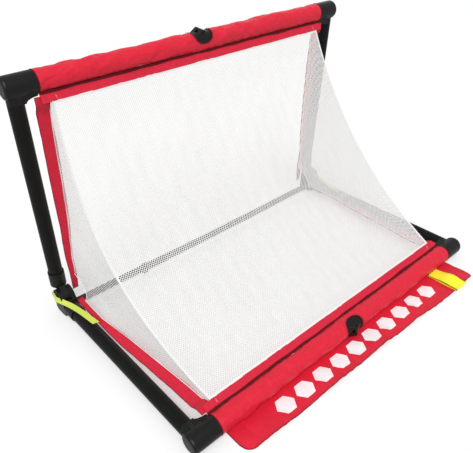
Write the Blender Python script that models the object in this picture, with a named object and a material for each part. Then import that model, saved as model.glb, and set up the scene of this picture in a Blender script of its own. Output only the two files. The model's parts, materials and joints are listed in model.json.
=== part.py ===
"""Pop-up soccer goal: two U-frames of black tube hinged together, with padded crossbars, nets and webbing.

Run it with blender --background --python part.py, or from Blender's text editor.
Metres, +Z up. The origin is on the ground under the middle of the goal, and +X runs along the crossbars.
The lower frame lies on the ground towards -Y, and the upper frame stands above the hinge line.

Each side of a frame is drawn in its leg's own axes: inward from the leg's axis, along the leg from the
hinge line to the crossbar, and across towards the other frame. Most numbers below are sizes in those axes.
"""

import math

import bmesh
import bpy
from mathutils import Matrix, Vector
from mathutils.geometry import convex_hull_2d

# Whole goal
WIDTH = 1.22  # between the two legs' axes
LEG = 0.751  # from the hinge line to the crossbar's axis
OPEN_ANGLE = math.radians(85)  # between the two frames as the goal stands
CLEAR = 0.0003  # gap between solids that touch
FOLD_GAP = 0.0015  # air left between rigid pieces when folded
SIDES = 20  # flats round a turned piece, with one facing the ground

# Tubes and the padded sleeve
TUBE_R = 0.0225
TUBE_WALL = 0.002
BAR_R = 0.031  # outside of the corner's barrel and of the sleeve
SLEEVE_WALL = 0.0017
WINDOW_HALF = 0.036  # half of the sleeve's window over the centre hinge
WINDOW_DEPTH = 0.030  # how far the window reaches down from the sleeve's outer side

# Corner
BARREL_END = 0.029  # past the leg's axis
BARREL_ROUND = 0.009
STUB = 0.045  # from the crossbar's axis to the end of the leg's tube
SPIGOT = 0.040  # length inside a tube
PIVOT_IN = 0.038  # the bar's pivot, inward of the leg's axis
SWING_REACH = 0.023  # from the pivot to the bar end's shoulder
TONGUE_R = 0.0195
TONGUE_THICK = 0.024
GUSSET_THICK = 0.040
GUSSET_WIDE = 0.0345
GUSSET_DEEP = 0.0135
PIN_SIDES = 12
PIN_R = 0.004
PIN_HEAD_R = 0.007
PIN_HEAD_FACE = 0.026  # outer face of a pin's head, from the middle of the frame
PIN_HEAD_THICK = 0.003
SHOULDER = 0.008  # thickness of the bar end's shoulder

# Centre hinge
LEAF = 0.026  # length that shows, from the hinge's pin
LUG_R = 0.007
LUG_HALF = 0.020  # half of the knuckle's width
MIDDLE_LUG_HALF = 0.0065
CENTRE_PIN_R = 0.0028
CENTRE_PIN_HEAD_R = 0.0045
CENTRE_PIN_HEAD_THICK = 0.002

# Side hinge
KNUCKLE_R = 0.030
CHEEK_HALF = 0.025  # half of the knuckle's length
TONGUE_HALF = 0.010
COLLAR_R = 0.026
COLLAR = 0.054
SOCKET = 0.040
SIDE_PIN_R = 0.005
SIDE_PIN_HEAD_R = 0.0105
SIDE_PIN_HEAD = 0.0042
SIDE_PIN_PROUD = 0.0025
HEEL_BACK = 0.006  # the foot's heel, along the leg from the hinge line
FOOT_FROM = 0.014
FOOT_TO = 0.050

# Lock plunger, in the outer cheek
PLUNGER_BACK = 0.0195  # behind the hinge's pin, along the leg
PLUNGER_UP = 0.0042
PLUNGER_R = 0.003
FLANGE_R = 0.0062
FLANGE = 0.0018
CHAMBER_FLOOR = 0.0215  # from the leg's axis, outward
PLUNGER_HEAD_R = 0.0085
PLUNGER_HEAD = 0.0028
SPRING_R = 0.0046
SPRING_WIRE_R = 0.00045
SPRING_TURNS = 3
PULL_WIDTH = 0.016
PULL_THICK = 0.0016

# Nets, tapes and strips
TAPE_FROM = 0.064  # the header tape's end, inward of the leg's axis
TAPE = 0.028
CLOTH = 0.0015
NET_THICK = 0.0024
NET_SAG = 0.120  # inward of the straight line between the crossbars
NET_SIDE = 0.080  # the side net, inward of the leg's axis at the crossbars
NET_OPEN = 0.80  # each gap's share of its diamond
NET_ACROSS = 9  # diamonds, in each half of the back net
NET_ALONG = 4
SIDE_NET_ACROSS = 4
SIDE_NET_ALONG = 4
SIDE_NET_FROM = 0.085  # along the leg from the hinge line
STRIP_RISE = 0.008  # a strip's underside above the leg's axis
STRIP_OUTER = (0.036, 0.050)  # inward of the leg's axis, at the hinge and at the crossbar
STRIP_INNER = (0.058, 0.084)
LOWER_STRIP_FROM = 0.0575
UPPER_STRIP_FROM = 0.045

# Webbing between the side hinges
WEB_ALONG = 0.055  # along the lower leg from the hinge line
WEB_HALF = 0.015
WEB_THICK = 0.002
WEB_TAB_BACK = 0.021
WEB_TAB_FRONT = 0.007
DOUBLED_FROM = 0.285
DOUBLED_TO = 0.410
SLIDER_AT = 0.300
SLIDER_HALF = 0.012
SLIDER_TALL = 0.020
SLIDER_THICK = 0.004

# Banner and its yellow loop
BANNER_FROM = 0.081
BANNER_TO = 1.160
BANNER_ROOT = 0.0125  # past the crossbar's axis
BANNER_OUT = (0.112, 0.132)
BANNER_WAVE = 0.007
BANNER_WAVES = 5
BANNER_COLUMNS = 30
BANNER_ROWS = 3
BAND_FROM = 1.036
BAND_TO = 1.094
BAND_ROOT = 0.024
BAND_OUT = 0.140
BAND_ARCH = 0.012
BAND_STEPS = 8

# Worked out from the sizes above
SPIGOT_R = TUBE_R - TUBE_WALL - CLEAR
SHOULDER_R = BAR_R - SLEEVE_WALL - CLEAR
PIVOT_DROP = TUBE_R + BAR_R + FOLD_GAP - PIVOT_IN
PIVOT = (PIVOT_IN, LEG - PIVOT_DROP, 0)
CENTRE_RISE = BAR_R + FOLD_GAP / 2
CENTRE_PIVOT = (WIDTH / 2, LEG + CENTRE_RISE, 0)
BARREL_TO = PIVOT_IN + SWING_REACH - CLEAR
SLEEVE_FROM = PIVOT_IN + SWING_REACH + CLEAR
BAR_TUBE_FROM = PIVOT_IN + SWING_REACH + SHOULDER + CLEAR
HINGE_RISE = BAR_R + FOLD_GAP / 2
HINGE_ALONG = HINGE_RISE / math.tan(OPEN_ANGLE / 2)
HINGE = (0, HINGE_ALONG, HINGE_RISE)
COLLAR_FROM = HINGE_ALONG + KNUCKLE_R + FOLD_GAP
SOCKET_FLOOR = COLLAR_FROM + COLLAR - SOCKET
ARM_ROOT = COLLAR_FROM + 0.006
ARM_REACH = COLLAR_R - 0.002
PLUNGER = (0, HINGE_ALONG - PLUNGER_BACK, HINGE_RISE + PLUNGER_UP)
HALF = WIDTH / 2 - CLEAR / 2
GROUND = -BAR_R  # the ground, across from the lower frame's axis
COLLAR_BACK = COLLAR_R * math.sin(OPEN_ANGLE) - COLLAR_FROM * math.cos(OPEN_ANGLE)
HINGE_LINE = Vector((0, (LEG + BAND_OUT - COLLAR_BACK) / 2, BAR_R))

# Looks: the material's name, its hex colour, roughness and metallic value
BLACK_TUBE = ("black_powder_coated_tube", "1B1B1A", 0.38, 0)
BLACK_PLASTIC = ("black_moulded_plastic", "161616", 0.5, 0)
STEEL = ("zinc_plated_steel", "B9BAB6", 0.32, 1)
RED_CLOTH = ("red_woven_polyester", "D9263A", 0.75, 0)
WHITE_NET = ("white_knotless_mesh", "F4F4F2", 0.7, 0)
BLACK_WEBBING = ("black_webbing", "2A2A2B", 0.8, 0)
YELLOW_WEBBING = ("neon_yellow_webbing", "D8E83A", 0.7, 0)

UPPER, LOWER = "upper", "lower"
LEFT, RIGHT = -1, 1
SIDE_NAMES = {LEFT: "left", RIGHT: "right"}
ALONG_X, ALONG_Y, ALONG_Z = 0, 1, 2


# Axes


def frame_axes(level):
    """The across-goal, along-leg and towards-the-other-frame directions of a frame, or the world's own."""
    if level == UPPER:
        along = Vector((0, -math.cos(OPEN_ANGLE), math.sin(OPEN_ANGLE)))
        across = Vector((0, -math.sin(OPEN_ANGLE), -math.cos(OPEN_ANGLE)))
    elif level == LOWER:
        along = Vector((0, -1, 0))
        across = Vector((0, 0, 1))
    else:
        along = Vector((0, 1, 0))
        across = Vector((0, 0, 1))
    return along.cross(across), along, across


def hand(level, side):
    """1 where inward runs along the frame's first axis, -1 where the piece is that shape's mirror image."""
    inward = Vector((-side, 0, 0))
    return 1 if inward.dot(frame_axes(level)[0]) > 0 else -1


def world(level, side, point):
    """Where a point in a leg's own axes lies in the world."""
    _, along, across = frame_axes(level)
    x = side * (WIDTH / 2 - point[0])
    return HINGE_LINE + Vector((x, 0, 0)) + along * point[1] + across * point[2]


def in_lower_axes(along, across):
    """A point of the upper frame's axes, as (y, z) from the hinge line."""
    _, out, over = frame_axes(UPPER)
    spot = out * along + over * across
    return spot.y, spot.z


# Meshes


def prism(outline, low, high, axis):
    """A flat outline, drawn in the two other axes in their order, made solid between low and high."""
    bm = bmesh.new()
    rings = []
    for level in (low, high):
        ring = []
        for point in outline:
            spot = list(point)
            spot.insert(axis, level)
            ring.append(bm.verts.new(spot))
        bm.faces.new(ring)
        rings.append(ring)
    for k in range(len(outline)):
        after = (k + 1) % len(outline)
        bm.faces.new((rings[0][k], rings[0][after], rings[1][after], rings[1][k]))
    bmesh.ops.recalc_face_normals(bm, faces=bm.faces)
    return bm


def turned(profile, axis, centre=(0, 0), sides=SIDES, hollow=False):
    """A solid turned about an axis from (along, radius) points. A radius is measured to the flats."""
    bm = bmesh.new()
    to_corner = 1 / math.cos(math.pi / sides)
    rings = []
    for along, radius in profile:
        ring = []
        for k in range(sides if radius > 0 else 1):
            angle = (k + 0.5) * 2 * math.pi / sides
            spot = [
                centre[0] + radius * to_corner * math.cos(angle),
                centre[1] + radius * to_corner * math.sin(angle),
            ]
            spot.insert(axis, along)
            ring.append(bm.verts.new(spot))
        rings.append(ring)
    pairs = list(zip(rings, rings[1:]))
    if hollow:
        pairs.append((rings[-1], rings[0]))
    for first, second in pairs:
        for k in range(sides):
            corners = [
                first[k % len(first)],
                first[(k + 1) % len(first)],
                second[(k + 1) % len(second)],
                second[k % len(second)],
            ]
            unique = list(dict.fromkeys(corners))
            if len(unique) > 2:
                bm.faces.new(unique)
    bmesh.ops.recalc_face_normals(bm, faces=bm.faces)
    return bm


def cylinder(low, high, radius, axis, centre=(0, 0), sides=SIDES):
    return turned([(low, 0), (low, radius), (high, radius), (high, 0)], axis, centre, sides)


def stepped(half, radius, face, wide, axis, centre, sides):
    """A bore with a wider recess at each end, as a cutter."""
    profile = [(-half, 0), (-half, wide), (-face, wide), (-face, radius)]
    mirrored = [(-along, r) for along, r in reversed(profile)]
    return turned(profile + mirrored, axis, centre, sides)


def circle(centre, radius, start=0.0, end=2 * math.pi, steps=SIDES):
    """Points round a circle, or along the stretch of it from start to end."""
    whole = abs(end - start) >= 2 * math.pi - 1e-6
    count = steps if whole else steps + 1
    angles = [start + (end - start) * k / steps for k in range(count)]
    return [(centre[0] + radius * math.cos(a), centre[1] + radius * math.sin(a)) for a in angles]


def hull(points):
    """The outline round some points in a plane."""
    return [points[k] for k in convex_hull_2d([Vector(p) for p in points])]


def sheet(columns, rows, place, thick):
    """A sheet with a thickness, from a function of its two shares and of the height over its middle."""
    bm = bmesh.new()
    points = {}
    for side in (-1, 1):
        for c in range(columns + 1):
            for r in range(rows + 1):
                points[side, c, r] = bm.verts.new(place(c / columns, r / rows, side * thick / 2))
    for c in range(columns):
        for r in range(rows):
            for side in (-1, 1):
                square = ((c, r), (c + 1, r), (c + 1, r + 1), (c, r + 1))
                bm.faces.new([points[(side, *corner)] for corner in square])
    rim = [(c, 0) for c in range(columns)]
    rim += [(columns, r) for r in range(rows)]
    rim += [(c, rows) for c in range(columns, 0, -1)]
    rim += [(0, r) for r in range(rows, 0, -1)]
    for first, second in zip(rim, rim[1:] + rim[:1]):
        corners = ((-1, *first), (-1, *second), (1, *second), (1, *first))
        bm.faces.new([points[corner] for corner in corners])
    bmesh.ops.recalc_face_normals(bm, faces=bm.faces)
    return bm


def net(across, along, place, thick):
    """A sheet of diamonds with a gap in each one, and a filled half diamond wherever the border cuts one."""
    bm = bmesh.new()
    knots = {}
    right, top = 2 * across, 2 * along

    def spot(p, q, side):
        return place(p / right, q / top, side * thick / 2)

    def knot(p, q, side):
        if (p, q, side) not in knots:
            knots[p, q, side] = bm.verts.new(spot(p, q, side))
        return knots[p, q, side]

    for p in range(right + 1):
        for q in range(top + 1):
            if (p + q) % 2 == 0:
                continue
            corners = [(p - 1, q), (p, q - 1), (p + 1, q), (p, q + 1)]
            inside = [c for c in corners if 0 <= c[0] <= right and 0 <= c[1] <= top]
            if len(inside) < 4:
                for side in (-1, 1):
                    bm.faces.new([knot(*c, side) for c in inside])
                beside, over = p in (0, right), q in (0, top)
                first, second = [c for c in inside if (beside and c[0] == p) or (over and c[1] == q)]
                bm.faces.new([knot(*first, -1), knot(*second, -1), knot(*second, 1), knot(*first, 1)])
                continue
            gap = {}
            for side in (-1, 1):
                for c in corners:
                    a = p + (c[0] - p) * NET_OPEN
                    b = q + (c[1] - q) * NET_OPEN
                    gap[c, side] = bm.verts.new(spot(a, b, side))
            for first, second in zip(corners, corners[1:] + corners[:1]):
                for side in (-1, 1):
                    outer = [knot(*first, side), knot(*second, side)]
                    bm.faces.new(outer + [gap[second, side], gap[first, side]])
                bm.faces.new([gap[first, -1], gap[second, -1], gap[second, 1], gap[first, 1]])
    bmesh.ops.recalc_face_normals(bm, faces=bm.faces)
    return bm


# Objects


def finish(look):
    """The plain Principled material of a look, made the first time that it is asked for."""
    name, colour, roughness, metallic = look
    if name in bpy.data.materials:
        return bpy.data.materials[name]
    material = bpy.data.materials.new(name)
    material.use_nodes = True
    shader = material.node_tree.nodes["Principled BSDF"]
    channels = [int(colour[k : k + 2], 16) / 255 for k in (0, 2, 4)]
    linear = [c / 12.92 if c <= 0.04045 else ((c + 0.055) / 1.055) ** 2.4 for c in channels]
    shader.inputs["Base Color"].default_value = (*linear, 1)
    shader.inputs["Roughness"].default_value = roughness
    shader.inputs["Metallic"].default_value = metallic
    return material


def joint_axis(name, at, parent=None):
    """An empty on a joint's axis, which carries the pieces that turn or slide there."""
    empty = bpy.data.objects.new(name, None)
    empty.empty_display_size = 0.05
    bpy.context.scene.collection.objects.link(empty)
    empty.parent = parent
    empty["at"] = tuple(at)
    empty.location = Vector(at) - (Vector(parent["at"]) if parent else Vector())
    return empty


def solid(name, bm, level, side, at, parent):
    """A mesh in a leg's own axes, made an object whose origin is the point at, turned into its frame."""
    turn = hand(level, side)
    for vert in bm.verts:
        vert.co = Vector(((vert.co.x - at[0]) * turn, vert.co.y - at[1], vert.co.z - at[2]))
    if turn < 0:
        bmesh.ops.reverse_faces(bm, faces=bm.faces)
    mesh = bpy.data.meshes.new(name)
    bm.to_mesh(mesh)
    bm.free()
    obj = bpy.data.objects.new(name, mesh)
    bpy.context.scene.collection.objects.link(obj)
    obj.rotation_euler = Matrix(frame_axes(level)).transposed().to_euler()
    obj.parent = parent
    obj.location = world(level, side, at) - Vector(parent["at"])
    return obj


def add(bm):
    return ("UNION", bm)


def cut(bm):
    return ("DIFFERENCE", bm)


def piece(name, bm, spot, look, parent, *steps):
    """One sub-part: a base solid, then the solids added to it or cut from it, in their order."""
    level, side, at = spot
    obj = solid(name, bm, level, side, at, parent)
    for k, (operation, shape) in enumerate(steps):
        helper = solid(f"{name}_step_{k + 1}", shape, level, side, at, parent)
        helper.hide_render = True
        helper.display_type = "WIRE"
        modifier = obj.modifiers.new(helper.name, "BOOLEAN")
        modifier.operation = operation
        modifier.object = helper
    obj.data.materials.append(finish(look))
    obj.data.shade_smooth()
    obj.data.set_sharp_from_angle(angle=math.radians(35))
    return obj


# Frame pieces


def leg_tube(name, spot, parent):
    low, high = SOCKET_FLOOR + CLEAR, LEG - STUB - CLEAR
    inner = TUBE_R - TUBE_WALL
    profile = [(low, inner), (low, TUBE_R), (high, TUBE_R), (high, inner)]
    piece(name, turned(profile, ALONG_Y, hollow=True), spot, BLACK_TUBE, parent)


def corner(name, spot, parent):
    """A barrel along the crossbar, a stub and spigot down the leg, and two cheeks with a slot for the bar."""
    end = BARREL_END
    barrel = [
        (-end, 0),
        (-end, BAR_R - BARREL_ROUND),
        (-end + BARREL_ROUND * 0.3, BAR_R - BARREL_ROUND * 0.3),
        (-end + BARREL_ROUND, BAR_R),
        (BARREL_TO, BAR_R),
        (BARREL_TO, 0),
    ]
    stub_end = LEG - STUB
    leg = [
        (LEG, 0),
        (LEG, TUBE_R),
        (stub_end, TUBE_R),
        (stub_end, SPIGOT_R),
        (stub_end - SPIGOT, SPIGOT_R),
        (stub_end - SPIGOT, 0),
    ]
    far = TUBE_R + GUSSET_WIDE
    quarter = [
        (far - GUSSET_WIDE * math.cos(t), stub_end + GUSSET_DEEP * math.sin(t))
        for t in [math.pi / 2 * k / 6 for k in range(7)]
    ]
    gusset = quarter + [(far, LEG - BAR_R / 2), (0.004, LEG - BAR_R / 2), (0.004, stub_end)]
    wall = PIVOT_IN - TONGUE_R - 2 * CLEAR
    slot_half = TONGUE_THICK / 2 + CLEAR
    slot = [
        (wall, LEG + BAR_R - 0.0065),
        (wall, PIVOT[1] - TONGUE_R - 0.0015),
        (TUBE_R + 0.0015, stub_end + 0.002),
        (TUBE_R + 0.0015, stub_end - 0.02),
        (PIVOT_IN + 0.05, stub_end - 0.02),
        (PIVOT_IN + 0.05, LEG + BAR_R - 0.0065),
    ]
    sweep = circle(PIVOT[:2], SWING_REACH - 0.0005, 0, -math.pi / 2, 8)
    clear_to = PIVOT[0] + 0.05
    swept = sweep + [(PIVOT[0], PIVOT[1] - 0.05), (clear_to, PIVOT[1] - 0.05), (clear_to, PIVOT[1])]
    recess = PIN_HEAD_FACE - PIN_HEAD_THICK - CLEAR
    piece(
        name,
        turned(barrel, ALONG_X, (LEG, 0)),
        spot,
        BLACK_PLASTIC,
        parent,
        add(turned(leg, ALONG_Y)),
        add(prism(gusset, -GUSSET_THICK / 2, GUSSET_THICK / 2, ALONG_Z)),
        cut(prism(slot, -slot_half, slot_half, ALONG_Z)),
        cut(prism(swept, -0.05, 0.05, ALONG_Z)),
        cut(stepped(0.05, PIN_R + CLEAR, recess, PIN_HEAD_R + CLEAR, ALONG_Z, PIVOT[:2], PIN_SIDES)),
    )


def headed_pin(name, radius, head_radius, face, head, axis, centre, spot, parent):
    """A pin with a head at each end, whose outer faces lie this far from the middle."""
    half = [(-face, 0), (-face, head_radius), (-face + head, head_radius), (-face + head, radius)]
    profile = half + [(-along, r) for along, r in reversed(half)]
    piece(name, turned(profile, axis, centre, PIN_SIDES), spot, STEEL, parent)


def bar_end(name, spot, parent):
    """The crossbar's end: a tongue round the corner's pivot, a shoulder inside the sleeve, and a spigot."""
    face = PIVOT_IN + SWING_REACH
    body = [
        (face, 0),
        (face, SHOULDER_R),
        (face + SHOULDER, SHOULDER_R),
        (face + SHOULDER, SPIGOT_R),
        (face + SHOULDER + SPIGOT, SPIGOT_R),
        (face + SHOULDER + SPIGOT, 0),
    ]
    root = face + SHOULDER / 2
    reach = math.sqrt(SHOULDER_R**2 - (TONGUE_THICK / 2) ** 2) - 0.002
    corners = [(along, LEG + across) for along in (face, root) for across in (-reach, reach)]
    tongue = hull(circle(PIVOT[:2], TONGUE_R) + corners)
    piece(
        name,
        turned(body, ALONG_X, (LEG, 0)),
        spot,
        BLACK_PLASTIC,
        parent,
        add(prism(tongue, -TONGUE_THICK / 2, TONGUE_THICK / 2, ALONG_Z)),
        cut(cylinder(-0.05, 0.05, PIN_R + CLEAR, ALONG_Z, PIVOT[:2], PIN_SIDES)),
    )


def bar_tube(name, spot, parent):
    low, high = BAR_TUBE_FROM, HALF - LEAF - SHOULDER - CLEAR
    inner = TUBE_R - TUBE_WALL
    profile = [(low, inner), (low, TUBE_R), (high, TUBE_R), (high, inner)]
    piece(name, turned(profile, ALONG_X, (LEG, 0), hollow=True), spot, BLACK_TUBE, parent)


def centre_leaf(name, spot, parent, outer):
    """Half of the centre hinge: a plug in the bar's tube, a body that fills the window, and its lugs."""
    near, far = HALF, HALF - LEAF
    body = [
        (far - SHOULDER - SPIGOT, 0),
        (far - SHOULDER - SPIGOT, SPIGOT_R),
        (far - SHOULDER, SPIGOT_R),
        (far - SHOULDER, SHOULDER_R),
        (near, SHOULDER_R),
        (near, 0),
    ]
    pin = CENTRE_PIVOT[:2]
    seat = pin[1] - LUG_R - CLEAR  # the ledge that the other half's lugs turn over
    back = near - LUG_R - 2 * CLEAR
    ledge = [(back, seat), (near + 0.01, seat), (near + 0.01, seat + 0.02), (back - 0.012, seat + 0.02)]
    foot = (far, LEG + SHOULDER_R - 0.006)
    slope = math.atan2(pin[1] - foot[1], pin[0] - foot[0]) + math.asin(LUG_R / math.dist(pin, foot))
    arm = [foot, (far, seat - 0.006), (near, seat - 0.006), (near, pin[1] - LUG_R)]
    arm += circle(pin, LUG_R, -math.pi / 2, slope + math.pi / 2, 12)[1:]
    if outer:
        slices = ((-LUG_HALF, -MIDDLE_LUG_HALF - CLEAR), (MIDDLE_LUG_HALF + CLEAR, LUG_HALF))
    else:
        slices = ((-MIDDLE_LUG_HALF, MIDDLE_LUG_HALF),)
    piece(
        name,
        turned(body, ALONG_X, (LEG, 0)),
        spot,
        BLACK_PLASTIC,
        parent,
        cut(prism(ledge, -0.04, 0.04, ALONG_Z)),
        *[add(prism(arm, low, high, ALONG_Z)) for low, high in slices],
        cut(cylinder(-0.04, 0.04, CENTRE_PIN_R + CLEAR, ALONG_Z, pin, PIN_SIDES)),
    )


def sleeve(name, spot, parent):
    """Half of the padded sleeve, with half of the window over the centre hinge."""
    inner = BAR_R - SLEEVE_WALL
    profile = [(SLEEVE_FROM, inner), (SLEEVE_FROM, BAR_R), (HALF, BAR_R), (HALF, inner)]
    top = LEG + BAR_R
    turns = [2 * math.pi * (k + 0.5) / 16 for k in range(16)]
    window = [(WIDTH / 2 + WINDOW_HALF * math.cos(a), top + WINDOW_DEPTH * math.sin(a)) for a in turns]
    piece(
        name,
        turned(profile, ALONG_X, (LEG, 0), hollow=True),
        spot,
        RED_CLOTH,
        parent,
        cut(prism(window, -0.05, 0.05, ALONG_Z)),
    )


def leaf_outline(extra=()):
    """The knuckle and the arm that joins it to its collar, in the plane across the hinge line."""
    root = [(ARM_ROOT, ARM_REACH), (ARM_ROOT, -ARM_REACH)]
    return hull(circle(HINGE[1:], KNUCKLE_R, steps=32) + root + list(extra))


def collar():
    """The socket that holds the end of a leg's tube."""
    low, high = COLLAR_FROM, COLLAR_FROM + COLLAR
    bore = TUBE_R + CLEAR
    return turned(
        [(low, 0), (low, COLLAR_R), (high, COLLAR_R), (high, bore), (SOCKET_FLOOR, bore), (SOCKET_FLOOR, 0)],
        ALONG_Y,
    )


def upper_leaf(name, spot, parent):
    piece(
        name,
        collar(),
        spot,
        BLACK_PLASTIC,
        parent,
        add(prism(leaf_outline(), -TONGUE_HALF, TONGUE_HALF, ALONG_X)),
        cut(cylinder(-0.05, 0.05, SIDE_PIN_R + CLEAR, ALONG_X, HINGE[1:], PIN_SIDES)),
    )


def lower_leaf(name, spot, parent):
    """Two cheeks over a flat foot, with a slot that the upper leaf's tongue swings in."""
    foot = ((HEEL_BACK, GROUND + 0.007), (FOOT_FROM, GROUND), (FOOT_TO, GROUND))
    along, rise = HINGE[1:]
    gap = KNUCKLE_R + 2 * CLEAR
    # Folded shut, the tongue's edge runs from its knuckle to this corner, ahead of and above the pin.
    corner_in = Vector((ARM_ROOT - along + 2 * CLEAR, rise - ARM_REACH - 2 * CLEAR))
    last = math.atan2(corner_in.y, corner_in.x) - math.acos(gap / corner_in.length)
    slot = circle((along, rise), gap, math.radians(-148), last, 12) + [
        (along + corner_in.x, rise + corner_in.y),
        (along + 0.06, rise + corner_in.y),
        (along + 0.06, rise + 0.06),
        (along - 0.070, rise + 0.06),
        (along - 0.037, rise + 0.003),
    ]
    outer_face = CHEEK_HALF + SIDE_PIN_PROUD - SIDE_PIN_HEAD - CLEAR
    head_r = SIDE_PIN_HEAD_R + CLEAR
    chamber = [
        (-0.05, 0),
        (-0.05, PLUNGER_R + CLEAR),
        (-CHAMBER_FLOOR, PLUNGER_R + CLEAR),
        (-CHAMBER_FLOOR, FLANGE_R + CLEAR),
        (0, FLANGE_R + CLEAR),
        (0, 0),
    ]
    slot_half = TONGUE_HALF + CLEAR
    piece(
        name,
        prism(leaf_outline(foot), -CHEEK_HALF, CHEEK_HALF, ALONG_X),
        spot,
        BLACK_PLASTIC,
        parent,
        add(collar()),
        cut(prism(slot, -slot_half, slot_half, ALONG_X)),
        cut(stepped(0.05, SIDE_PIN_R + CLEAR, outer_face, head_r, ALONG_X, HINGE[1:], PIN_SIDES)),
        cut(turned(chamber, ALONG_X, PLUNGER[1:], PIN_SIDES)),
    )


def plunger(name, spot, parent):
    """The lock's pin: a flange behind the cheek, a shaft through it, and a head for the pull strap."""
    nose = TONGUE_HALF + 2 * CLEAR
    outside = CHEEK_HALF + CLEAR
    profile = [
        (-nose, 0),
        (-nose, FLANGE_R),
        (-nose - FLANGE, FLANGE_R),
        (-nose - FLANGE, PLUNGER_R),
        (-outside, PLUNGER_R),
        (-outside, PLUNGER_HEAD_R),
        (-outside - PLUNGER_HEAD, PLUNGER_HEAD_R),
        (-outside - PLUNGER_HEAD, 0),
    ]
    piece(name, turned(profile, ALONG_X, PLUNGER[1:], PIN_SIDES), spot, STEEL, parent)


def plunger_spring(name, level, side, at, parent):
    """The coil round the plunger's shaft, between its flange and the chamber's floor."""
    start = TONGUE_HALF + 2 * CLEAR + FLANGE + SPRING_WIRE_R + CLEAR
    end = CHAMBER_FLOOR - SPRING_WIRE_R - CLEAR
    count = 8 * SPRING_TURNS
    centre = world(level, side, (0, PLUNGER[1], PLUNGER[2]))
    _, along, across = frame_axes(level)
    curve = bpy.data.curves.new(name, "CURVE")
    curve.dimensions = "3D"
    curve.bevel_depth = SPRING_WIRE_R
    curve.bevel_resolution = 1
    curve.use_fill_caps = True
    spline = curve.splines.new("POLY")
    spline.points.add(count)
    origin = world(level, side, at)
    for k in range(count + 1):
        share = k / count
        angle = 2 * math.pi * SPRING_TURNS * share
        outward = Vector((side * (start + (end - start) * share), 0, 0))
        spot = centre + outward + SPRING_R * (math.cos(angle) * along + math.sin(angle) * across)
        spline.points[k].co = (*(spot - origin), 1)
    obj = bpy.data.objects.new(name, curve)
    bpy.context.scene.collection.objects.link(obj)
    obj.parent = parent
    obj.location = origin - Vector(parent["at"])
    curve.materials.append(finish(STEEL))


def pull_strap(name, spot, parent):
    """The webbing tail that pulls the plunger out: flat on its head, then twisting to lie along the leg."""
    outside = -(CHEEK_HALF + PLUNGER_HEAD + 2 * CLEAR + PULL_THICK / 2)
    route = [
        ((outside, PLUNGER[1] - 0.009, PLUNGER[2] + 0.004), (0, 0.35, 0.94)),
        ((outside, PLUNGER[1] + 0.012, PLUNGER[2] - 0.005), (0, 0.42, 0.91)),
        ((outside, 0.050, 0.024), (0.05, 0.30, 0.95)),
        ((-0.0275, 0.075, 0.022), (0.25, 0.10, 0.96)),
        ((-0.021, 0.105, 0.027), (0.55, 0, 0.83)),
        ((-0.012, 0.140, 0.031), (0.80, 0, 0.60)),
        ((-0.004, 0.180, 0.032), (0.92, 0, 0.39)),
        ((0.002, 0.217, 0.030), (0.95, 0, 0.30)),
    ]
    middles = [Vector(middle) for middle, _ in route]
    widths = [Vector(width).normalized() for _, width in route]

    def place(share, across, height):
        k = round(share * (len(route) - 1))
        before, after = middles[max(k - 1, 0)], middles[min(k + 1, len(route) - 1)]
        normal = (after - before).cross(widths[k]).normalized()
        return middles[k] + widths[k] * (across - 0.5) * PULL_WIDTH + normal * height

    piece(name, sheet(len(route) - 1, 1, place, PULL_THICK), spot, YELLOW_WEBBING, parent)


# Cloth pieces


def net_line(share):
    """A point of the back net's section in a frame's axes, from its tape at 0 to the net's middle at 1."""
    base = (math.pi - OPEN_ANGLE) / 2
    half_chord = LEG * math.sin(OPEN_ANGLE / 2)
    chord = Vector((-math.cos(base), math.sin(base)))
    inward = Vector((-math.sin(base), -math.cos(base)))
    tilt = math.atan2(NET_SAG, half_chord)
    first = BAR_R + 2 * CLEAR + TAPE + CLEAR
    start = first * math.cos(tilt)
    start_sag = first * math.sin(tilt)
    along = start + (half_chord - CLEAR / 2 - start) * share
    left = (half_chord - along) / (half_chord - start)
    sag = NET_SAG - (NET_SAG - start_sag) * left**2
    return Vector((LEG, 0)) + chord * along + inward * sag


def tape_direction():
    base = (math.pi - OPEN_ANGLE) / 2
    lean = base - math.atan2(NET_SAG, LEG * math.sin(OPEN_ANGLE / 2))
    return Vector((-math.cos(lean), math.sin(lean)))


def header_tape(name, spot, parent):
    """The woven tape between the sleeve and the net, along half of the crossbar."""
    out = tape_direction()
    side = Vector((out.y, -out.x))
    root = Vector((LEG, 0)) + out * (BAR_R + 2 * CLEAR)
    tip = root + out * TAPE
    lift = side * CLOTH / 2
    outline = [tuple(p) for p in (root + lift, tip + lift, tip - lift, root - lift)]
    piece(name, prism(outline, TAPE_FROM, HALF, ALONG_X), spot, RED_CLOTH, parent)


def back_net(name, spot, parent):
    """Half of the slanted net, from one crossbar's tape to the middle."""
    edge = NET_SIDE + NET_THICK / 2 + CLEAR

    def place(across, share, height):
        step = 0.01
        tangent = net_line(min(share + step, 1)) - net_line(max(share - step, 0))
        normal = Vector((-tangent.y, tangent.x)).normalized()
        middle = net_line(share) + normal * height
        return (edge + (WIDTH - 2 * edge) * across, middle.x, middle.y)

    piece(name, net(NET_ACROSS, NET_ALONG, place, NET_THICK), spot, WHITE_NET, parent)


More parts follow.
